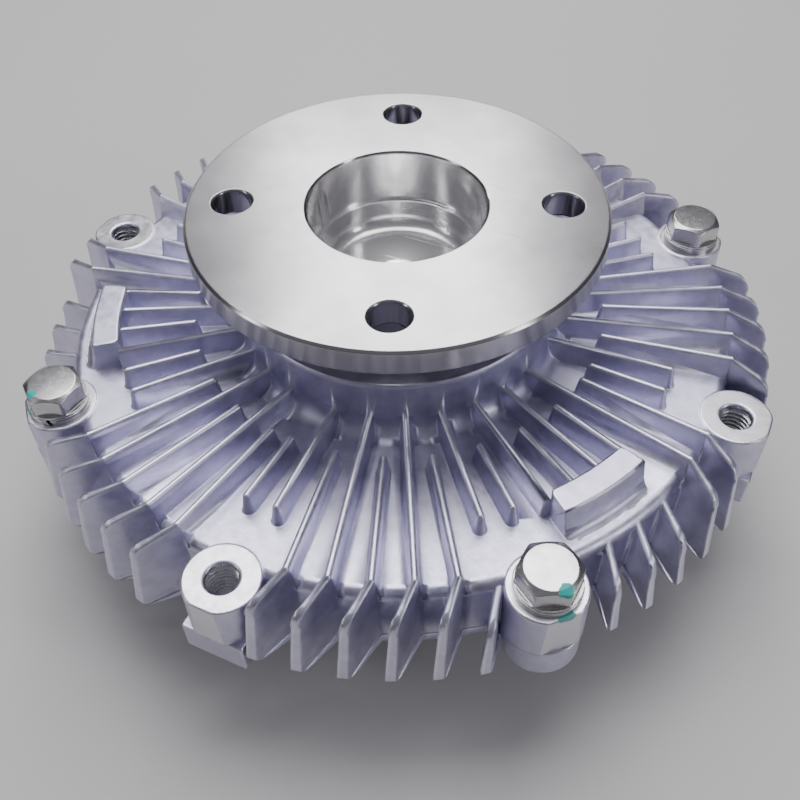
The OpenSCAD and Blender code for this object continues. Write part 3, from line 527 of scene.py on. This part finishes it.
@dataclass(frozen=True)
class TurnedSteel(Finish):
    """Bright steel turned on a lathe, with circular tool marks."""

    title: str = "turned steel"
    shade: Colour = (0.42, 0.41, 0.43)
    light: Colour = (0.50, 0.49, 0.51)
    recess: Colour = (0.88, 0.87, 0.875)
    # painted highlight: pale colour of the raised edges, partly rubbing
    rubbed_highlight: Colour = (0.85, 0.84, 0.82)
    scratch: Colour = (0.40, 0.39, 0.38)
    recess_r: float = 20.6 * MM
    recess_top: float = -0.3 * MM
    edge_radius: float = 0.35 * MM
    roughness: float = 0.22
    anisotropy: float = 0.70
    quarter: float = 0.25
    rub_and_highlight: float = 0.5
    scratch_share: float = 0.35
    scratch_gloss: float = 0.15
    ring_gloss: float = 0.06
    tool_marks: tuple[float, float] = (0.03, 0.02 * MM)

    def dress(self, graph: Graph, shader: bpy.types.Node) -> None:
        """Wires tool marks, scratches, the brighter recess and the direction of the turning."""
        rings = TURNED_RINGS.use(graph)
        edges = SOFT_EDGES.use(graph, Radius=self.edge_radius)
        x, y, z = graph.split(graph.place())
        within = graph.math("LESS_THAN", graph.hypot(x, y), self.recess_r)
        inside = graph.math("MULTIPLY", within, graph.math("LESS_THAN", z, self.recess_top))
        colour = graph.blend(graph.spread(rings["Cloud"], 0.3, 0.7), self.shade, self.light)
        colour = graph.blend(inside, colour, self.recess)
        # painted highlight on the raised edges, mixed with rubbing
        colour = graph.blend(graph.math("MULTIPLY", edges["Rub and highlight"], self.rub_and_highlight), colour, self.rubbed_highlight)
        graph.feed(shader.inputs["Base Color"], graph.blend(
            graph.math("MULTIPLY", rings["Scratch"], self.scratch_share), colour, self.scratch))
        least = self.roughness - self.ring_gloss / 2
        gloss = graph.math("MULTIPLY_ADD", rings["Ring"], self.ring_gloss, least)
        gloss = graph.math("MULTIPLY_ADD", rings["Scratch"], self.scratch_gloss, gloss)
        graph.feed(shader.inputs["Roughness"], gloss)
        shader.inputs["Metallic"].default_value = 1.0
        shader.inputs["Anisotropic"].default_value = self.anisotropy
        shader.inputs["Anisotropic Rotation"].default_value = self.quarter
        around = graph.node(
            "ShaderNodeVectorTransform", vector_type="VECTOR", convert_from="OBJECT", convert_to="WORLD")
        graph.feed(around.inputs[0], graph.join(graph.math("MULTIPLY", y, -1.0), x, 0.0))
        graph.feed(shader.inputs["Tangent"], graph.vector("NORMALIZE", around.outputs[0]).outputs[0])
        graph.feed(shader.inputs["Normal"], graph.bump(rings["Ring"], *self.tool_marks, edges["Normal"]))


@dataclass(frozen=True)
class PlatedSteel(Finish):
    """Bright zinc plating, slightly cloudy, with paint marks."""

    title: str = "zinc plated steel"
    shade: Colour = (0.50, 0.495, 0.50)
    light: Colour = (0.62, 0.61, 0.61)
    # painted highlight: pale colour of the raised edges, partly rubbing
    rubbed_highlight: Colour = (0.88, 0.87, 0.85)
    paint: Colour = (0.02, 0.42, 0.38)
    edge_radius: float = 0.3 * MM
    roughness: float = 0.25
    rub_and_highlight: float = 0.5
    cloud_scale: float = 260.0
    gloss_scale: float = 700.0
    gloss: float = 0.16
    paint_gloss: float = 0.2
    fine_scale: float = 1100.0
    relief: tuple[float, float] = (0.12, 0.05 * MM)

    def dress(self, graph: Graph, shader: bpy.types.Node) -> None:
        """Wires the cloudy plating, the edges brightened by rubbing and a painted highlight, and the paint.
        """
        place = graph.place()
        edges = SOFT_EDGES.use(graph, Radius=self.edge_radius)
        paint = PAINT_DABS.use(graph)["Paint"]
        cloud = graph.noise(place, self.cloud_scale, 4.0, 0.6)
        colour = graph.blend(graph.spread(cloud, 0.3, 0.7), self.shade, self.light)
        # painted highlight on the raised edges, mixed with rubbing
        colour = graph.blend(graph.math("MULTIPLY", edges["Rub and highlight"], self.rub_and_highlight), colour, self.rubbed_highlight)
        graph.feed(shader.inputs["Base Color"], graph.blend(paint, colour, self.paint))
        patch = graph.noise(place, self.gloss_scale, 3.0)
        gloss = graph.math("MULTIPLY_ADD", patch, self.gloss, self.roughness - self.gloss / 2)
        graph.feed(shader.inputs["Roughness"], graph.math("MULTIPLY_ADD", paint, self.paint_gloss, gloss))
        graph.feed(shader.inputs["Metallic"], graph.math("SUBTRACT", 1.0, paint, clamp=True))
        fine = graph.noise(place, self.fine_scale, 2.0)
        graph.feed(shader.inputs["Normal"], graph.bump(fine, *self.relief, edges["Normal"]))


@dataclass(frozen=True)
class PlainMetal(Finish):
    """Rolled, ground or pressed metal with a fine grain and soft edges."""

    title: str
    shade: Colour
    light: Colour
    roughness: float
    grain: float = 500.0
    edge_radius: float = 0.25 * MM
    # painted highlight: share and brightening of the raised edges, partly rubbing
    rub_and_highlight: float = 0.4
    rubbed_highlight: float = 1.3
    relief: tuple[float, float] = (0.1, 0.05 * MM)

    def dress(self, graph: Graph, shader: bpy.types.Node) -> None:
        """Wires the grain into colour, gloss and relief."""
        place = graph.place()
        edges = SOFT_EDGES.use(graph, Radius=self.edge_radius)
        grain = graph.noise(place, self.grain, 3.0, 0.6)
        colour = graph.blend(graph.spread(grain, 0.3, 0.7), self.shade, self.light)
        # painted highlight: a brighter colour for the raised edges, mixed with rubbing
        bright = tuple(min(1.0, part * self.rubbed_highlight) for part in self.light)
        rubbed_highlight = graph.math("MULTIPLY", edges["Rub and highlight"], self.rub_and_highlight)
        graph.feed(shader.inputs["Base Color"], graph.blend(rubbed_highlight, colour, bright))
        graph.feed(shader.inputs["Roughness"], graph.math("MULTIPLY_ADD", grain, 0.15, self.roughness - 0.07))
        shader.inputs["Metallic"].default_value = 1.0
        graph.feed(shader.inputs["Normal"], graph.bump(grain, *self.relief, edges["Normal"]))


@dataclass(frozen=True)
class MouldedRubber(Finish):
    """Black rubber with a fine matt grain."""

    title: str = "moulded rubber"
    shade: Colour = (0.012, 0.012, 0.013)
    light: Colour = (0.03, 0.03, 0.032)
    roughness: float = 0.6
    edge_radius: float = 0.2 * MM
    grain: float = 900.0
    relief: tuple[float, float] = (0.2, 0.08 * MM)

    def dress(self, graph: Graph, shader: bpy.types.Node) -> None:
        """Wires the grain into colour, gloss and relief."""
        place = graph.place()
        grain = graph.noise(place, self.grain, 3.0, 0.6)
        normal = SOFT_EDGES.use(graph, Radius=self.edge_radius)["Normal"]
        colour = graph.blend(graph.spread(grain, 0.3, 0.7), self.shade, self.light)
        graph.feed(shader.inputs["Base Color"], colour)
        graph.feed(shader.inputs["Roughness"], graph.math("MULTIPLY_ADD", grain, 0.2, self.roughness - 0.1))
        graph.feed(shader.inputs["Normal"], graph.bump(grain, *self.relief, normal))


@dataclass(frozen=True)
class FloorPaint(Finish):
    """Plain pale floor."""

    title: str = "pale floor"
    shade: Colour = (0.56, 0.55, 0.54)
    light: Colour = (0.60, 0.59, 0.58)
    roughness: float = 0.55
    cloud_scale: float = 6.0

    def dress(self, graph: Graph, shader: bpy.types.Node) -> None:
        """Wires a barely cloudy tone."""
        cloud = graph.noise(graph.place(), self.cloud_scale, 2.0)
        graph.feed(shader.inputs["Base Color"], graph.blend(cloud, self.shade, self.light))
        shader.inputs["Roughness"].default_value = self.roughness


CAST = CastAluminium()
TURNED = TurnedSteel()
PLATED = PlatedSteel()
RUBBER = MouldedRubber()
BEARING = PlainMetal("ground bearing steel", (0.50, 0.50, 0.51), (0.62, 0.62, 0.63), 0.18)
SHEET = PlainMetal("pressed sheet steel", (0.42, 0.42, 0.43), (0.56, 0.56, 0.57), 0.34)
SPRING = PlainMetal("dark spring steel", (0.09, 0.09, 0.10), (0.16, 0.16, 0.17), 0.38)
BIMETAL = PlainMetal("bimetal strip", (0.46, 0.38, 0.27), (0.62, 0.53, 0.40), 0.30, 320.0)
MACHINED = PlainMetal("machined aluminium", (0.58, 0.58, 0.60), (0.70, 0.70, 0.72), 0.28, 700.0)


def shown(name: str) -> bpy.types.Object:
    """Returns the frame's own object for a node."""
    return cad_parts[name]


def link_piece(name: str, shape: bmesh.types.BMesh, finish: Finish, body: Body,
               crease: float = 35.0) -> bpy.types.Object:
    """Turns a finished bmesh into a dressed piece that rides on a body.

    Args:
        name: the piece's name.
        shape: the mesh, which is freed.
        finish: what the piece is made of.
        body: what the piece rides on.
        crease: the turn in degrees from which an edge is shaded sharp.

    Returns:
        The new object.
    """
    bmesh.ops.remove_doubles(shape, verts=shape.verts, dist=MERGE)
    bmesh.ops.recalc_face_normals(shape, faces=shape.faces)
    mesh = bpy.data.meshes.new(name)
    shape.to_mesh(mesh)
    shape.free()
    for polygon in mesh.polygons:
        polygon.use_smooth = True
    mesh.set_sharp_from_angle(angle=math.radians(crease))
    made = bpy.data.objects.new(name, mesh)
    bpy.context.scene.collection.objects.link(made)
    finish.put_on(made)
    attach(made, body.value)
    return made


@dataclass(frozen=True)
class EdgeRounding:
    """Rounds the long raised edges of a node, as casting, tumbling and handling leave them."""

    radius: float
    segments: int = 2
    turn: float = 47.0
    shortest: float = 0.45 * MM
    rim_r: float = 82.0 * MM
    shortest_outside: float = 0.75 * MM
    flat: float = 0.3
    off_level: float = 0.02 * MM
    levels: tuple[float, ...] = ()

    def is_level(self, edge: bmesh.types.BMEdge) -> bool:
        """Tells whether an edge lies in one of the wide faces, which stay as they are."""
        heights = [vert.co.z for vert in edge.verts]
        return any(all(abs(z - level) < self.off_level for z in heights) for level in self.levels)

    def is_raised(self, edge: bmesh.types.BMEdge) -> bool:
        """Tells whether an edge stands out enough to be rounded."""
        outside = edge.verts[0].co.to_2d().length > self.rim_r
        shortest = self.shortest_outside if outside else self.shortest
        if not edge.is_manifold or edge.calc_length() < shortest or self.is_level(edge):
            return False
        return edge.calc_face_angle_signed() > math.radians(self.turn)

    def stand_in(self, node: str, finish: Finish, body: Body, slot: str,
                 reshape: Callable[[bmesh.types.BMesh], None] = lambda shape: None) -> bpy.types.Object:
        """Puts a rounded copy in the place of a node.

        Args:
            node: the node to copy and hide.
            finish: what the copy is made of.
            body: what the copy rides on.
            slot: the record's material slot; not used.
            reshape: what is done to the copy before its edges are rounded.

        Returns:
            The copy.
        """
        shape = bmesh.new()
        shape.from_mesh(shown(node).data)
        bmesh.ops.remove_doubles(shape, verts=shape.verts, dist=SAME_POINT)
        reshape(shape)
        seams = [edge for edge in shape.edges if not self.is_level(edge)]
        bmesh.ops.dissolve_limit(shape, angle_limit=math.radians(self.flat), verts=[], edges=seams)
        bmesh.ops.bevel(
            shape, geom=[edge for edge in shape.edges if self.is_raised(edge)], offset=self.radius,
            offset_type="OFFSET", segments=self.segments, profile=0.5, affect="EDGES",
            clamp_overlap=False, material=-1, loop_slide=True)
        made = link_piece(f"rounded_{node}", shape, finish, body)
        weighted = made.modifiers.new("even shading", "WEIGHTED_NORMAL")
        weighted.keep_sharp = True
        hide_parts(node)
        return made


@dataclass
class FanThreads:
    """Screw threads that line the fan bosses' holes."""

    circle: float = 84.1 * MM
    bosses: int = 4
    core: float = 3.325 * MM
    root: float = 4.22 * MM
    crest: float = 3.33 * MM
    pitch: float = 1.25 * MM
    crest_flat: float = 0.18
    top: float = -34.95 * MM
    near: float = 0.03 * MM
    turns: int = 8
    steps: int = 40

    def axes(self) -> list[Vector]:
        """Returns where the axes of the holes meet the top of the thread."""
        angles = [math.tau * index / self.bosses for index in range(self.bosses)]
        return [Vector((self.circle * math.cos(a), self.circle * math.sin(a), self.top)) for a in angles]

    def wall(self, shape: bmesh.types.BMesh, axis: Vector) -> list[bmesh.types.BMVert]:
        """Returns the vertices of a copy that lie on the wall of one hole."""
        return [v for v in shape.verts if abs((v.co - axis).to_2d().length - self.core) < self.near]

    def widen(self, shape: bmesh.types.BMesh) -> None:
        """Opens a copy's holes to the roots of the thread, below their bevelled mouths."""
        for axis in self.axes():
            found = set(self.wall(shape, axis))
            faces = {f for v in found for f in v.link_faces if all(w in found for w in f.verts)}
            edges = {e for f in faces for e in f.edges}
            bmesh.ops.bisect_plane(
                shape, geom=[*found, *edges, *faces], dist=ON_PLANE, plane_co=(0.0, 0.0, self.top),
                plane_no=(0.0, 0.0, 1.0))
            for vert in self.wall(shape, axis):
                if vert.co.z < self.top + self.near:
                    arm = (vert.co - axis).to_2d().normalized()
                    vert.co.xy = axis.xy + arm * self.root

    def helix(self, shape: bmesh.types.BMesh, centre: Vector) -> None:
        """Adds one thread about an upright axis.

        Args:
            shape: the mesh to add to.
            centre: where the axis meets the top of the thread.
        """
        low = self.turns * self.pitch
        half = self.pitch / 2
        flat = self.pitch * self.crest_flat / 2
        profile = (
            (self.root, 0.0), (self.crest, half - flat), (self.crest, half + flat), (self.root, self.pitch))
        verts = [shape.verts.new(centre + Vector((r, 0.0, z - low))) for r, z in profile]
        edges = [shape.edges.new(pair) for pair in zip(verts, verts[1:])]
        bmesh.ops.spin(
            shape, geom=verts + edges, cent=centre, axis=(0.0, 0.0, 1.0),
            dvec=(0.0, 0.0, self.pitch / self.steps), angle=math.tau * (self.turns - 1),
            steps=self.steps * (self.turns - 1), use_merge=False, use_duplicate=False)

    def build(self) -> bpy.types.Object:
        """Returns the threads of all bosses as one piece."""
        shape = bmesh.new()
        for axis in self.axes():
            self.helix(shape, axis)
        return link_piece("fan_hole_threads", shape, MACHINED, Body.HOUSING)


@dataclass
class CaseBolts:
    """Hexagon bolts with turned caps, in the place of the plain ones."""

    node: str = "case_bolts"
    circle: float = 84.1 * MM
    turns: tuple[float, ...] = (0.0, 0.0, 28.0, 0.0)
    steps: int = 72
    flats: float = 12.0 * MM
    corner_r: float = 6.82 * MM
    cap_r: float = 5.3 * MM
    cap_crown: float = 0.12 * MM
    cap_slope: float = 30.0
    cap_flat: float = 0.6
    corner_reach: float = 1.2
    digits: int = 7
    crease: float = 20.0
    top: float = -26.8 * MM
    hex_end: float = -31.8 * MM
    collar_r: float = 6.9 * MM
    collar_end: float = -32.3 * MM
    shank_r: float = 4.0 * MM
    point: float = 0.6 * MM
    end: float = -54.0 * MM

    def corner(self, axis: Vector) -> float:
        """Returns the angle at which the node's hexagon has a corner.

        Args:
            axis: a point on the bolt's axis.

        Returns:
            The angle about that axis.
        """
        middle = (self.top + self.hex_end) / 2
        reach = self.flats / 2 * self.corner_reach
        found = Vector((0.0, 0.0))
        for vert in shown(self.node).data.vertices:
            arm = (vert.co - axis).to_2d()
            level = vert.co.z > self.hex_end - self.point and abs(vert.co.z - middle) < reach
            if level and arm.length < reach:
                found = max(found, arm, key=lambda v: round(v.length, 6))
        return math.atan2(found.y, found.x)

    def hex_r(self, turn: float) -> float:
        """Returns the hexagon's radius at an angle from one of its corners."""
        side = math.tau / HEX_SIDES
        return min(self.corner_r, self.flats / 2 / math.cos((turn % side) - side / 2))

    def outline(self, turn: float) -> list[tuple[float, float]]:
        """Returns the bolt's radii and heights, from the cap down, at an angle from a corner."""
        wide = self.hex_r(turn)
        fall = (wide - self.cap_r) * math.tan(math.radians(self.cap_slope))
        return [
            (self.cap_r * self.cap_flat, self.top), (self.cap_r, self.top - self.cap_crown),
            (wide, self.top - self.cap_crown - fall), (wide, self.hex_end),
            (self.collar_r, self.hex_end), (self.collar_r, self.collar_end),
            (self.shank_r, self.collar_end), (self.shank_r, self.end + self.point),
            (self.shank_r - self.point, self.end),
        ]

    def add_bolt(self, shape: bmesh.types.BMesh, axis: Vector, twist: float) -> None:
        """Adds one bolt.

        Args:
            shape: the mesh to add to.
            axis: a point on the bolt's axis.
            twist: how far in degrees it is turned from the node's hexagon.
        """
        start = self.corner(axis) + math.radians(twist)
        ring = bmesh.ops.create_circle(shape, cap_ends=True, segments=self.steps, radius=self.cap_r)["verts"]
        turns = [math.tau * index / self.steps for index in range(self.steps)]
        for level in range(len(self.outline(0.0))):
            if level:
                near = {edge for vert in ring for edge in vert.link_edges}
                rim = [edge for edge in near if all(vert in ring for vert in edge.verts)]
                grown = bmesh.ops.extrude_edge_only(shape, edges=rim)["geom"]
                pairs = {v.co.to_tuple(self.digits): v for v in grown if isinstance(v, bmesh.types.BMVert)}
                ring = [pairs[v.co.to_tuple(self.digits)] for v in ring]
            for vert, turn in zip(ring, turns):
                radius, height = self.outline(turn)[level]
                around = start + turn
                vert.co = axis + Vector((radius * math.cos(around), radius * math.sin(around), height))
        shape.faces.new(ring)

    def build(self) -> bpy.types.Object:
        """Returns all bolts as one piece."""
        shape = bmesh.new()
        for index, twist in enumerate(self.turns):
            angle = math.tau * (index + 0.5) / len(self.turns)
            axis = Vector((self.circle * math.cos(angle), self.circle * math.sin(angle), 0.0))
            self.add_bolt(shape, axis, twist)
        made = link_piece("capped_case_bolts", shape, PLATED, Body.HOUSING, self.crease)
        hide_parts(self.node)
        return made


@dataclass
class Casing:
    """Ribbed housing and finned cover, with the bolts that close them."""

    castings: tuple[str, ...] = ("rear_housing", "front_cover")
    cast_edges: EdgeRounding = EdgeRounding(
        0.4 * MM, levels=(-46.0 * MM, -49.45 * MM, -66.1 * MM, -78.1 * MM))
    washers: str = "bolt_washers"
    washer_edges: EdgeRounding = EdgeRounding(0.15 * MM, shortest=0.2 * MM, shortest_outside=0.2 * MM)
    bolts: CaseBolts = field(default_factory=CaseBolts)
    screws: tuple[str, ...] = ("separator_screws", "bracket_screws")
    seals: tuple[str, ...] = ("cover_seal_ring", "valve_shaft_seal")
    threads: FanThreads = field(default_factory=FanThreads)

    def dress(self) -> list[bpy.types.Object]:
        """Dresses the casing's nodes and adds the threads.

        Returns:
            The dressed objects.
        """
        PLATED.put_on(*map(shown, self.screws))
        RUBBER.put_on(*map(shown, self.seals))
        made = [self.cast_edges.stand_in(n, CAST, Body.HOUSING, "cast_aluminium", self.threads.widen)
                for n in self.castings]
        made.append(self.washer_edges.stand_in(self.washers, PLATED, Body.HOUSING, "zinc_steel"))
        made += [self.bolts.build(), self.threads.build()]
        return made + [shown(n) for n in self.screws + self.seals]


@dataclass
class Drive:
    """Flanged hub, its bearing and the rotor."""

    hub: str = "drive_hub"
    hub_edges: EdgeRounding = EdgeRounding(0.2 * MM)
    races: tuple[str, ...] = ("bearing_inner_ring", "bearing_outer_ring", "bearing_balls")
    pressed: tuple[str, ...] = ("bearing_cage",)
    clips: tuple[str, ...] = ("bearing_retaining_ring", "rotor_retaining_ring")
    seals: tuple[str, ...] = ("bearing_seal_rear", "bearing_seal_front")
    rotor: str = "rotor"

    def dress(self) -> list[bpy.types.Object]:
        """Dresses the drive's nodes and returns them."""
        hub = self.hub_edges.stand_in(self.hub, TURNED, Body.INPUT, "turned_steel")
        BEARING.put_on(*map(shown, self.races))
        SHEET.put_on(*map(shown, self.pressed))
        SPRING.put_on(*map(shown, self.clips))
        RUBBER.put_on(*map(shown, self.seals))
        MACHINED.put_on(shown(self.rotor))
        rest = (*self.races, *self.pressed, *self.clips, *self.seals, self.rotor)
        return [hub] + [shown(n) for n in rest]


@dataclass
class Thermostat:
    """Bimetal coil, its bracket and the valve that it turns."""

    coil: str = "bimetal_coil"
    sheet: tuple[str, ...] = ("coil_bracket", "separator_plate", "valve_arm")
    shaft: str = "valve_shaft"

    def dress(self) -> list[bpy.types.Object]:
        """Dresses the thermostat's nodes and returns them."""
        BIMETAL.put_on(shown(self.coil))
        SHEET.put_on(*map(shown, self.sheet))
        TURNED.put_on(shown(self.shaft))
        return [shown(n) for n in (self.coil, *self.sheet, self.shaft)]


@dataclass
class Softbox:
    """One rectangular studio light that faces a height on the object's axis."""

    title: str
    place: tuple[float, float, float]
    size: tuple[float, float]
    power: float
    colour: Colour
    aim: float = -0.04

    def build(self) -> None:
        """Puts the light in the scene."""
        lamp = bpy.data.lights.new(self.title, "AREA")
        lamp.shape = "RECTANGLE"
        lamp.size, lamp.size_y = self.size
        lamp.energy = self.power
        lamp.color = self.colour
        made = bpy.data.objects.new(self.title, lamp)
        made.location = self.place
        way = Vector((0.0, 0.0, self.aim)) - Vector(self.place)
        made.rotation_euler = way.to_track_quat("-Z", "Y").to_euler()
        bpy.context.scene.collection.objects.link(made)


@dataclass
class Studio:
    """Floor, lights, surroundings and camera."""

    floor_size: float = 6.0
    camera_place: tuple[float, float, float] = (76.231 * MM, -158.679 * MM, 127.525 * MM)
    camera_right: tuple[float, float, float] = (0.90784, 0.419027, -0.015575)
    camera_up: tuple[float, float, float] = (-0.300643, 0.67635, 0.672431)
    lens: float = 42.431
    sensor: float = 36.0
    lights: tuple[Softbox, ...] = (
        Softbox("back softbox", (-0.30, 0.62, 0.55), (0.26, 0.24), 1.5, (1.0, 0.985, 0.97), -0.02),
        Softbox("top softbox", (-0.14, 0.26, 0.80), (0.75, 0.60), 8.4, (0.98, 0.98, 1.0)),
        Softbox("right strip", (0.70, -0.05, 0.30), (0.12, 0.30), 1.0, (0.95, 0.96, 1.0)),
        Softbox("left strip", (-0.55, -0.45, 0.30), (0.12, 0.30), 0.6, (0.96, 0.96, 1.0)),
    )
    sky_low: Colour = (0.10, 0.10, 0.12)
    sky_high: Colour = (0.55, 0.55, 0.62)
    sky_power: float = 0.36
    sky_range: tuple[float, float] = (-0.1, 0.9)
    clip: tuple[float, float] = (0.01, 50.0)

    def build_floor(self, level: float) -> bpy.types.Object:
        """Lays the floor under the object.

        Args:
            level: the height of the floor.

        Returns:
            The floor.
        """
        shape = bmesh.new()
        bmesh.ops.create_grid(shape, x_segments=1, y_segments=1, size=self.floor_size / 2)
        bmesh.ops.translate(shape, verts=shape.verts, vec=(0.0, 0.0, level))
        mesh = bpy.data.meshes.new("floor")
        shape.to_mesh(mesh)
        shape.free()
        made = bpy.data.objects.new("floor", mesh)
        bpy.context.scene.collection.objects.link(made)
        FloorPaint().put_on(made)
        return made

    def build_sky(self) -> None:
        """Surrounds the scene with a soft gradient."""
        world = bpy.data.worlds.new("studio")
        world.use_nodes = True
        world.node_tree.nodes.clear()
        graph = Graph(world.node_tree)
        _, _, up = graph.split(graph.node("ShaderNodeTexCoord").outputs["Generated"])
        back = graph.node("ShaderNodeBackground")
        tone = graph.blend(graph.spread(up, *self.sky_range), self.sky_low, self.sky_high)
        graph.feed(back.inputs["Color"], tone)
        back.inputs["Strength"].default_value = self.sky_power
        graph.feed(graph.node("ShaderNodeOutputWorld").inputs["Surface"], back.outputs[0])
        bpy.context.scene.world = world

    def build_camera(self) -> bpy.types.Object:
        """Sets the camera where the photograph was taken from."""
        lens = bpy.data.cameras.new("camera")
        lens.lens, lens.sensor_width = self.lens, self.sensor
        lens.clip_start, lens.clip_end = self.clip
        made = bpy.data.objects.new("camera", lens)
        right, up = Vector(self.camera_right).normalized(), Vector(self.camera_up).normalized()
        turn = Matrix((right, up, right.cross(up))).transposed()
        made.matrix_world = Matrix.Translation(self.camera_place) @ turn.to_4x4()
        bpy.context.scene.collection.objects.link(made)
        bpy.context.scene.camera = made
        return made

    def build(self, level: float) -> None:
        """Builds the whole studio on a floor at the given level."""
        self.build_camera()
        self.build_floor(level)
        self.build_sky()
        for light in self.lights:
            light.build()


def main() -> None:
    """Builds the studio and the sub-assemblies, and reports each piece."""
    logging.basicConfig(level=logging.INFO, format="%(name)s: %(message)s")
    Studio().build(CAD_BOX[0].z)
    for assembly in (Casing(), Drive(), Thermostat()):
        for piece in assembly.dress():
            LOG.info("%s: %s", type(assembly).__name__, piece.name)


if __name__ == "__main__":
    main()
